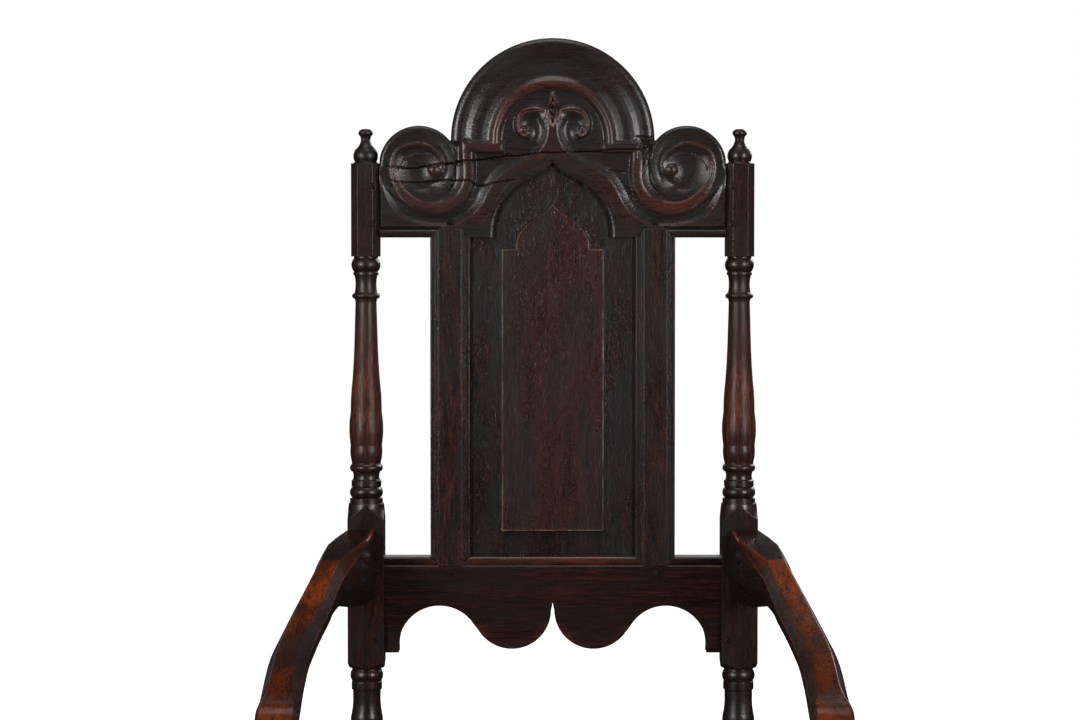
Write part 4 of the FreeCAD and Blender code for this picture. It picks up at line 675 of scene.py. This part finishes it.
def oak(name, along, base, tone, worn, tone_share=0.8, wear_share=0.45, gloss=0.26, fibre=0.26,
        wear_from=None, pale=None, handled=None, sheen=1.0):
    """Waxed oak. along is the axis that the grain follows: 0, 1 or 2 for X, Y or Z.

    Real oak is ring porous: long dark pores 1 to 2 mm apart in bands about 11 mm wide. Three
    centuries of wax and smoke lie over it, thin on the arrises and thick in the corners, where
    shade is painted too.
    fibre is the grain's relief in millimetres, wear_from the mesh attribute that says what is
    rubbed, pale the colour of the barest lines, bare wood with a painted highlight, handled the
    heights between which hands wear the wood, and sheen its shine against fully waxed wood's.
    """
    material = bpy.data.materials.new(name)
    material.use_nodes = True
    tree = material.node_tree
    tree.nodes.clear()
    output = tree.nodes.new("ShaderNodeOutputMaterial")
    place = tree.nodes.new("ShaderNodeTexCoord").outputs["Object"]

    def stretched(share):
        squeeze = [1.0, 1.0, 1.0]
        squeeze[along] = share
        return add_node(tree, "Mapping", {"Vector": place}, IN3=squeeze).outputs[0]

    def noise(where, size_mm, detail, roughness=0.6):
        return add_node(tree, "TexNoise", {"Vector": where}, INScale=1 / (size_mm * MM),
                        INDetail=detail, INRoughness=roughness).outputs[0]

    def mask(source, low, high, to=1.0, start=0.0):
        return graded(tree, source, low, high, start, to)

    def product(a, b):
        return reckon(tree, "MULTIPLY", a, b)

    def total(a, b):
        return reckon(tree, "ADD", a, b, use_clamp=True)

    def blend(share, a, b):
        node = add_node(tree, "Mix", {0: share}, data_type="RGBA")
        for socket, value in ((6, a), (7, b)):
            if isinstance(value, tuple):
                node.inputs[socket].default_value = value
            else:
                tree.links.new(value, node.inputs[socket])
        return node.outputs[2]

    # Fibres 2.2 mm apart, rings 11 mm apart, patches of patina 45 mm wide and three times as
    # long, clouds of wear 26 mm across and specks of 2.4 mm
    fibres = noise(stretched(0.045), 2.2, 3.0)
    rings = noise(stretched(0.10), 11, 2.0)
    patches = noise(stretched(0.30), 45, 4.0, 0.62)
    clouds = noise(place, 26, 3.0, 0.65)
    grit = noise(place, 2.4, 3.0, 0.75)
    # Pits and old worm holes about 1 mm wide, 30 mm apart
    pits = add_node(tree, "TexVoronoi", {"Vector": place}, INScale=1 / (30 * MM))
    pit = product(mask(pits.outputs["Distance"], 0.015, 0.035, 0.0, 1.0),
                  mask(clouds, 0.42, 0.50))
    grain = total(product(mask(rings, 0.35, 0.65), mask(fibres, 0.35, 0.65)),
                  mask(fibres, 0.48, 0.66, 0.5))
    toned = product(mask(patches, 0.34, 0.60, tone_share, tone_share * 0.15), grain)
    if handled:
        # Hands and cloths reach this stretch of height and keep it bright
        dull_share = 0.35
        height = add_node(tree, "SeparateXYZ", {0: place}).outputs["Z"]
        off = reckon(tree, "SUBTRACT", height, (handled[0] + handled[1]) / 2)
        reach = (handled[1] - handled[0]) / 2
        bright = mask(reckon(tree, "ABSOLUTE", off), reach - 0.07, reach + 0.01, dull_share, 1.0)
        toned = total(product(toned, bright), mask(bright, dull_share, 1.0, 0.22))
    colour = blend(toned, linear(base), linear(tone))
    # Painted shade, with old wax: darker in hollows, corners and between parts, up to 12 mm out
    crevice = add_node(tree, "AmbientOcclusion", samples=6, INDistance=12 * MM)
    old_wax_and_painted_shade = mask(crevice.outputs["AO"], 0.75, 0.25, 0.8)
    colour = blend(total(old_wax_and_painted_shade, pit), colour, linear("#090706"))
    # The patina is rubbed through on arrises: inward rays from near an edge soon leave the wood
    edge = add_node(tree, "AmbientOcclusion", inside=True, only_local=True, samples=6,
                    INDistance=3.5 * MM)
    rubbed = product(mask(edge.outputs["AO"], 0.66, 0.30),
                     product(mask(grit, 0.35, 0.62, wear_share), mask(clouds, 0.30, 0.62)))
    if wear_from:
        attribute = add_node(tree, "Attribute", attribute_name=wear_from)
        rub = product(mask(attribute.outputs["Fac"], 0.0, 1.0),
                      mask(total(product(patches, fibres), product(patches, rings)), 0.38, 0.60,
                           1.15, 0.25))
        rubbed = total(rubbed, rub)
    colour = blend(rubbed, colour, linear(worn))
    # The barest lines turn pale: bare oak, and a painted highlight along the arris
    if pale:
        bare_and_highlit = product(mask(attribute.outputs["Fac"], 0.66, 1.0), mask(grit, 0.30, 0.60, 0.75))
        colour = blend(product(bare_and_highlit, mask(clouds, 0.38, 0.66)), colour, linear(pale))
    # Open pores run dark along the grain, and pale specks are painted glints on the fine grain
    pores = noise(stretched(0.07), 1.5, 2.0, 0.8)
    colour = blend(mask(pores, 0.52, 0.34, 0.75), colour, linear("#080606"))
    colour = blend(mask(grit, 0.72, 0.82, 0.3), colour, linear("#7a6a5c"))
    # Hand-planed waves, specks, pores and pits, all as relief
    rounded = add_node(tree, "Bevel", samples=4, INRadius=sizes().edge)
    normal = rounded.outputs[0]
    for relief, deep_mm in ((noise(stretched(0.3), 24, 1.0), 0.7), (grit, min(0.26, fibre)),
                            (fibres, fibre), (pores, fibre * 0.8), (pit, -0.3)):
        bump = add_node(tree, "Bump", {"Height": relief, "Normal": normal},
                        INDistance=abs(deep_mm) * MM, invert=deep_mm < 0)
        normal = bump.outputs[0]
    rough = mask(total(product(grit, patches), product(fibres, patches)), 0.35, 0.75,
                 gloss - 0.06, gloss + 0.14)
    sockets = {"Base Color": colour, "Normal": normal, "Roughness": rough}
    if handled:
        # Where the wax is worn off, the wood is rougher and shines less
        sockets["Roughness"] = total(rough, mask(bright, dull_share, 1.0, 0.13))
        sockets["Specular IOR Level"] = mask(bright, dull_share, 1.0, 0.26, 0.5)
    shader = add_node(tree, "BsdfPrincipled", sockets, INIOR=1.5)
    shader.inputs["Coat Weight"].default_value = 0.0 if handled else 0.10 * sheen
    shader.inputs["Coat Roughness"].default_value = 0.20
    if not handled:
        shader.inputs["Specular IOR Level"].default_value = 0.5 * sheen
    tree.links.new(shader.outputs[0], output.inputs[0])
    return material


MATERIALS = {}


def make_materials():
    own = bpy.context.scene.oak_colours
    # Posts and stiles: riven oak, black with wax, red-brown where the light gets under it
    MATERIALS["upright"] = oak("oak, waxed, upright", 2, "#130f0e", "#42201a", "#6e4230",
                               tone_share=1.0, wear_share=0.9, gloss=0.24)
    MATERIALS["turned"] = oak("oak, turned and waxed", 2, "#150f0e", "#5e2c19", "#6c3c28",
                              tone_share=1.0, wear_share=0.7, gloss=0.25, fibre=0.12,
                              handled=(0.75, 0.965))
    # Rails and stretchers: the same, less handled, so duller
    MATERIALS["across"] = oak("oak, waxed, across", 0, own.black, own.brown, own.worn)
    MATERIALS["sides"] = oak("oak, waxed, front to back", 1, own.black, own.brown, own.worn)
    # Carving: polished by dusting, its raised bands rubbed red, the hollows dark with old wax and
    # painted shade
    # Its base, lighter and greyer than the posts', is a painted matt sheen
    MATERIALS["carved"] = oak("oak, carved and waxed", 0, "#1e1918", "#2e211d", "#54281d",
                              wear_share=0.5, gloss=0.23, fibre=0.20, wear_from="worn",
                              pale=own.pale)
    # Panel: quarter-sawn oak, open grain, a bare line along the arris of its field, painted pale
    # as a painted highlight too
    MATERIALS["panel"] = oak("oak, quarter-sawn panel", 2, "#120e0d", "#351b16", "#42201a",
                             wear_share=0.3, gloss=0.25, fibre=0.32, wear_from="worn",
                             pale=own.pale)
    # Lower rail: redder towards its lobes, where knees and cloths touch it
    MATERIALS["rail"] = oak("oak, lower rail", 0, "#180d0a", "#3c1c13", "#582a1c",
                            tone_share=1.0, wear_share=0.4, gloss=0.22, fibre=0.16,
                            wear_from="worn")
    # Arms: the top rubbed down to warm orange-brown oak by hands, glossy as glass at the sides
    MATERIALS["arm"] = oak("oak, worn arms", 1, "#17100e", "#2b150d", own.worn,
                           tone_share=0.6, wear_share=0.6, gloss=0.17, fibre=0.06,
                           wear_from="worn", sheen=0.55)
    # Seat: scuffed brown boards, duller than the frame
    MATERIALS["seat"] = oak("oak, worn seat", 0, own.black, own.brown, "#5e2c16",
                            tone_share=1.0, wear_share=0.5, gloss=0.46, fibre=0.28,
                            sheen=0.3)
    # Pegs: riven, end grain drinks the wax and is nearly black
    MATERIALS["peg"] = oak("oak, riven pegs", 1, "#120b09", own.black, "#2c1812",
                           tone_share=0.5, wear_share=0.2, fibre=0.16)


def finish_nodes(names, material):
    """Gives CAD nodes their finish; their shape stays as it is."""
    for name in names:
        node = NODES[name]
        node.data.materials.clear()
        node.data.materials.append(MATERIALS[material])


class CHAIR_OT_materials(bpy.types.Operator):
    """Makes the oak finishes and gives them to the solids that stay"""

    bl_idname = "chair.materials"
    bl_label = "Oak finishes"

    def execute(self, context):
        make_materials()
        sides = ("left", "right")
        finish_nodes([f"back_post_{s}" for s in sides] + [f"front_leg_{s}" for s in sides],
                     "turned")
        finish_nodes([f"back_stile_{s}" for s in sides], "upright")
        finish_nodes(["seat_rail_front", "seat_rail_back", "stretcher_back", "stretcher_front"],
                     "across")
        finish_nodes([f"seat_rail_{s}" for s in sides] + [f"stretcher_{s}" for s in sides],
                     "sides")
        finish_nodes([f"seat_board_{part}" for part in ("front", "middle", "back")], "seat")
        finish_nodes([name for name in NODES if name.endswith("_pegs")], "peg")
        return {"FINISHED"}


class CHAIR_OT_crest(bpy.types.Operator):
    """Carves the crest rail: arch, bead, side scrolls, small scrolls and the cut-out's band"""

    bl_idname = "chair.crest"
    bl_label = "Carved crest"

    def execute(self, context):
        piece = carve_board("crest_carving", crest_outline(), crest_arrises(), crest_depth, BACK_Y)
        finish_piece(piece, MATERIALS["carved"], 30, ["crest_rail"])
        return {"FINISHED"}


class CHAIR_OT_panel(bpy.types.Operator):
    """Makes the fielded panel with its ogee point"""

    bl_idname = "chair.panel"
    bl_label = "Fielded panel"

    def execute(self, context):
        arrises = [close_line(field_outline(grow)) for grow in SHOULDER_LINES]
        piece = carve_board("fielded_panel", panel_outline(), arrises, panel_depth, PANEL_BACK,
                            PANEL_FACE)
        finish_piece(piece, MATERIALS["panel"], 30, ["back_panel"])
        return {"FINISHED"}


class CHAIR_OT_lower_rail(bpy.types.Operator):
    """Makes the lower rail of the back with its arches, lobes and moulded edge"""

    bl_idname = "chair.lower_rail"
    bl_label = "Lower rail"

    def execute(self, context):
        end = RAIL_HALF - 0.25
        arrises = [straight_line([(-end, RAIL_HIGH - down), (end, RAIL_HIGH - down)])
                   for down in (BEAD_DOWN, QUIRK_DOWN)]
        piece = carve_board("lower_rail", lower_rail_outline(), arrises, lower_rail_depth,
                            RAIL_BACK)
        finish_piece(piece, MATERIALS["rail"], 30, ["lower_back_rail"])
        return {"FINISHED"}


ARM_EDGE = 1.3 * MM
KNEE = 100.0
NOSE_AHEAD, NOSE_RADIUS, NOSE_Z = 435.0, 23.0, 557.3


def nose_station(out):
    """A station of the arm's rounded front end, at a distance in front of its centre."""
    rise = math.sqrt(NOSE_RADIUS ** 2 - out ** 2)
    return (NOSE_AHEAD + out, 297.0, 294.0, 260.0, 257.0, NOSE_Z + rise, NOSE_Z - rise,
            0.3 * rise, 0.3 * rise)


# Arms, in mm: ahead of the post's axis; outer side, outer and inner arris of the top, inner side,
# all from the middle; top and underside above the floor; depth of the outer and inner chamfer
ARM_STATIONS = [
    (20.9, 236.0, 235.6, 205.4, 205.0, 681.9, 602.0, 1.5, 1.5),
    (40.0, 247.0, 246.4, 211.4, 209.8, 677.6, 602.5, 1.6, 2.0),
    (60.0, 255.4, 254.4, 219.4, 217.4, 673.1, 604.0, 1.8, 6.0),
    (74.0, 258.6, 256.4, 226.8, 223.2, 670.0, 606.0, 3.0, 12.0),
    (98.0, 264.4, 258.4, 238.0, 230.8, 664.6, 612.5, 8.5, 16.0),
    (101.5, 265.2, 258.9, 239.0, 231.6, 663.6, 612.8, 9.5, 16.2),
    (108.0, 266.6, 260.0, 240.6, 232.8, 661.2, 612.5, 11.0, 16.0),
] + [tuple(row) for row in smooth_line([
    (120.0, 270.0, 262.3, 242.5, 234.8, 657.0, 611.0, 13.0, 15.5),
    (150.0, 276.1, 268.0, 247.2, 239.1, 646.5, 606.5, 13.5, 15.4),
    (180.0, 281.9, 273.4, 251.6, 243.1, 636.5, 597.3, 13.5, 15.6),
    (216.0, 287.6, 279.0, 257.6, 249.4, 626.0, 586.4, 13.5, 15.8),
    (254.0, 292.6, 283.8, 262.4, 253.8, 617.0, 577.0, 13.6, 16.0),
    (290.0, 296.0, 287.0, 265.4, 256.6, 610.4, 569.6, 13.8, 16.2),
    (324.0, 297.2, 288.2, 266.4, 257.2, 604.3, 562.7, 14.0, 16.4),
    (356.0, 297.4, 288.4, 266.6, 257.4, 597.0, 554.8, 14.0, 16.4),
    (385.0, 297.4, 288.8, 266.2, 257.2, 588.6, 545.8, 13.0, 15.0),
    (412.0, 297.2, 291.0, 263.8, 257.0, 582.0, 538.0, 10.0, 11.0),
], 14)] + [nose_station(out) for out in (0.0, 7.0, 13.0, 17.5, 20.6, 22.2)]


def arm_ring(at, side):
    """One cross-section: worn top, chamfers, sides, and the underside drawn in."""
    ahead, outer, outer_top, inner_top, inner, top, low, outer_cut, inner_cut = ARM_STATIONS[at]
    start = at == 0
    past = ahead > KNEE
    before, after = ARM_STATIONS[max(at - 1, 0)], ARM_STATIONS[min(at + 1, len(ARM_STATIONS) - 1)]
    # The section turns with the arm's middle line, and a little further
    swing = (after[1] + after[4] - before[1] - before[4]) / 2
    turn = 0 if start else 1.3 * swing / (after[0] - before[0])
    deep = top - low
    foot = 0.96 if start else 0.66
    draw = (0.04 if start else 0.19) * (outer - inner)

    def half_ring(side_x, top_x, cut, line):
        """From the top's middle out over the chamfer and down the side."""
        inset = top_x + (outer + inner - 2 * top_x) * 0.12
        inward = 1 if side_x < top_x else -1
        tired = np.interp(ahead, [KNEE, 150, 290, 412, 460], [0.95, 0.95, 0.5, 0.35, 0.6])
        return [(inset, top, tired if past else 0.05), (top_x, top, tired * 0.8 if past else line),
                (top_x + (side_x - top_x) * 0.14, top - cut * 0.14, 0.3 if past else line * 0.5),
                (top_x + (side_x - top_x) * 0.86, top - cut * 0.86, 0.0 if past else 0.1),
                (side_x, top - cut, 0.5), (side_x, top - cut - deep * 0.05, 0.05),
                (side_x, top - deep * foot, 0.0), (side_x + inward * draw, low, 0.0)]

    own = sizes()
    ring = half_ring(outer, outer_top, outer_cut, 0.3)
    ring += half_ring(inner, inner_top, inner_cut, 0.85)[::-1]
    points = []
    for x, z, worn in ring:
        y = own.post_y + (turn * (x - (outer + inner) / 2) - ahead) * MM
        if start:
            y += (z * MM - own.seat_height) * math.tan(own.rake)
        points.append((side * x * MM, y, z * MM, worn))
    return points


class CHAIR_OT_arms(bpy.types.Operator):
    """Draws out both arms station by station, from the posts to the scrolled ends"""

    bl_idname = "chair.arms"
    bl_label = "Arms"

    def execute(self, context):
        for side, tag in ((LEFT, "left"), (RIGHT, "right")):
            deselect()
            rings = [arm_ring(at, side) for at in range(len(ARM_STATIONS))]
            bpy.ops.mesh.primitive_circle_add(vertices=len(rings[0]), radius=0.02,
                                              fill_type="NGON")
            piece = bpy.context.object
            piece.name = f"arm_shape_{tag}"
            bpy.ops.object.mode_set(mode="EDIT")
            mesh = bmesh.from_edit_mesh(piece.data)
            worn = mesh.verts.layers.float.new("worn")
            mesh.verts.ensure_lookup_table()
            for i, place in enumerate(rings[0]):
                mesh.verts[i].co = place[:3]
                mesh.verts[i][worn] = place[3]
            for ring in rings[1:]:
                bpy.ops.mesh.extrude_region_move()
                mesh = bmesh.from_edit_mesh(piece.data)
                worn = mesh.verts.layers.float["worn"]
                chosen = [face for face in mesh.faces if face.select]
                loop = [corner.vert for corner in chosen[0].loops]
                order = sorted(loop, key=lambda vert: vert.index)
                for vert, place in zip(order, ring):
                    vert.co = place[:3]
                    vert[worn] = place[3]
            bpy.ops.mesh.select_all(action="SELECT")
            bpy.ops.mesh.normals_make_consistent(inside=False)
            bpy.ops.object.mode_set(mode="OBJECT")
            bevel = piece.modifiers.new("eased", "BEVEL")
            bevel.width = ARM_EDGE
            bevel.segments = 2
            bevel.limit_method = "ANGLE"
            bevel.angle_limit = math.radians(16)
            bpy.ops.object.modifier_apply(modifier="eased")
            finish_piece(piece, MATERIALS["arm"], 34, [f"arm_{tag}"], facets=True)
        return {"FINISHED"}


LAMPS = (
    ("box_left", (-1.95, -2.0, 1.5), (0.5, 1.2), 44),
    ("box_right", (1.95, -2.0, 1.5), (0.5, 1.2), 40),
    ("top", (0.0, -0.2, 3.0), (1.2, 1.2), 10),
    ("behind", (1.5, 2.2, 1.9), (1.2, 1.2), 24),
)
LAMPS_AIM = Vector((0, 0.1, 0.9))
VIEW_MIDDLE = Vector((-0.0146, 0.209, 0.876))
SENSOR_MM = 36
PAPER_GLOW = 0.74
ROOM_SHARE = 0.025
SKY_SHARE = 0.35


class CHAIR_OT_stage(bpy.types.Operator):
    """Sets the floor, the world, four lamps and the camera"""

    bl_idname = "chair.stage"
    bl_label = "Stage"

    def execute(self, context):
        scene = context.scene
        own = scene.stage_settings
        scene.view_settings.view_transform = "Standard"
        deselect()
        bpy.ops.mesh.primitive_plane_add(size=12)
        floor = context.object
        floor.name = "floor"
        white = bpy.data.materials.new("floor, matt paper")
        white.use_nodes = True
        tree = white.node_tree
        paper = tree.nodes["Principled BSDF"]
        paper.inputs["Roughness"].default_value = 0.9
        # The camera sees white paper with the chair's shadow; in the wax's gloss it stays dark
        ways = tree.nodes.new("ShaderNodeLightPath").outputs
        glow = reckon(tree, "MULTIPLY", ways["Is Camera Ray"], PAPER_GLOW)
        paper.inputs["Emission Color"].default_value = (1, 1, 1, 1)
        tree.links.new(glow, paper.inputs["Emission Strength"])
        tone = add_node(tree, "Mix", {0: ways["Is Glossy Ray"]}, data_type="RGBA",
                        IN6=linear(scene.oak_colours.floor), IN7=linear("#1c1a19"))
        tree.links.new(tone.outputs[2], paper.inputs["Base Color"])
        floor.data.materials.append(white)
        self.make_world(scene)
        # Two soft boxes in front and a little above, a weak one over the chair and one behind it
        for name, place, size, power in LAMPS:
            deselect()
            bpy.ops.object.light_add(type="AREA", location=place)
            lamp = context.object
            lamp.name = name
            lamp.data.shape = "RECTANGLE"
            lamp.data.size, lamp.data.size_y = size
            lamp.data.energy = power
            aim = LAMPS_AIM - Vector(place)
            lamp.rotation_euler = aim.to_track_quat("-Z", "Y").to_euler()
        rise = own.camera_height - VIEW_MIDDLE.z
        back = math.sqrt(own.camera_distance ** 2 - rise ** 2)
        bpy.ops.object.camera_add(
            location=(VIEW_MIDDLE.x, VIEW_MIDDLE.y - back, own.camera_height))
        camera = context.object
        camera.rotation_euler = (math.pi / 2 - math.asin(rise / own.camera_distance), 0, 0)
        camera.data.sensor_width = SENSOR_MM
        camera.data.lens = SENSOR_MM * own.camera_distance / own.view_width
        scene.camera = camera
        return {"FINISHED"}

    def make_world(self, scene):
        """White behind the chair; the room in front stays dim, as in a studio."""
        world = bpy.data.worlds.new("studio")
        scene.world = world
        world.use_nodes = True
        tree = world.node_tree
        background = tree.nodes["Background"]
        ways = tree.nodes.new("ShaderNodeLightPath").outputs
        level = reckon(tree, "MAXIMUM", ways["Is Camera Ray"], ways["Is Transmission Ray"])
        towards = tree.nodes.new("ShaderNodeTexCoord").outputs["Generated"]
        # In the gloss: tall soft panels at both sides, and the white sheet low behind the chair
        way_to = add_node(tree, "SeparateXYZ", {0: towards}).outputs

        def hump(axis, middle, inner, outer, strength):
            """Strength within inner of the middle of an axis, fading out to outer."""
            off = reckon(tree, "ABSOLUTE", reckon(tree, "SUBTRACT", way_to[axis], middle))
            return graded(tree, off, inner, outer, strength, 0.0)

        sides = hump("Y", -0.22, 0.14, 0.30, 0.26)
        sheet = reckon(tree, "MULTIPLY", hump("Y", 1.0, 0.10, 0.22, 0.8),
                       hump("Z", 0.17, 0.09, 0.17, 1.0))
        shine = reckon(tree, "ADD", reckon(tree, "ADD", sides, sheet), ROOM_SHARE)
        for way, share in (("Is Glossy Ray", shine), ("Is Diffuse Ray", SKY_SHARE)):
            level = reckon(tree, "MAXIMUM", level, reckon(tree, "MULTIPLY", ways[way], share))
        background.inputs["Color"].default_value = (1, 1, 1, 1)
        tree.links.new(level, background.inputs["Strength"])


class CHAIR_PT_panel(bpy.types.Panel):
    """Lists the chair's steps"""

    bl_label = "Wainscot chair"
    bl_idname = "CHAIR_PT_panel"
    bl_space_type = "VIEW_3D"
    bl_region_type = "UI"
    bl_category = "Chair"

    def draw(self, context):
        for step in STEPS:
            self.layout.operator(step.bl_idname)


STEPS = (CHAIR_OT_materials, CHAIR_OT_crest, CHAIR_OT_panel, CHAIR_OT_lower_rail, CHAIR_OT_arms,
         CHAIR_OT_stage)
SETTINGS = {"chair_sizes": ChairSizes, "oak_colours": OakColours, "stage_settings": StageSettings}
CLASSES = (*SETTINGS.values(), *STEPS, CHAIR_PT_panel)


def register():
    for item in CLASSES:
        bpy.utils.register_class(item)
    for name, kind in SETTINGS.items():
        setattr(bpy.types.Scene, name, bpy.props.PointerProperty(type=kind))


def unregister():
    for name in SETTINGS:
        delattr(bpy.types.Scene, name)
    for item in reversed(CLASSES):
        bpy.utils.unregister_class(item)


def main():
    register()
    bpy.ops.chair.materials()
    bpy.ops.chair.crest()
    bpy.ops.chair.panel()
    bpy.ops.chair.lower_rail()
    bpy.ops.chair.arms()
    bpy.ops.chair.stage()


if __name__ == "__main__":
    main()
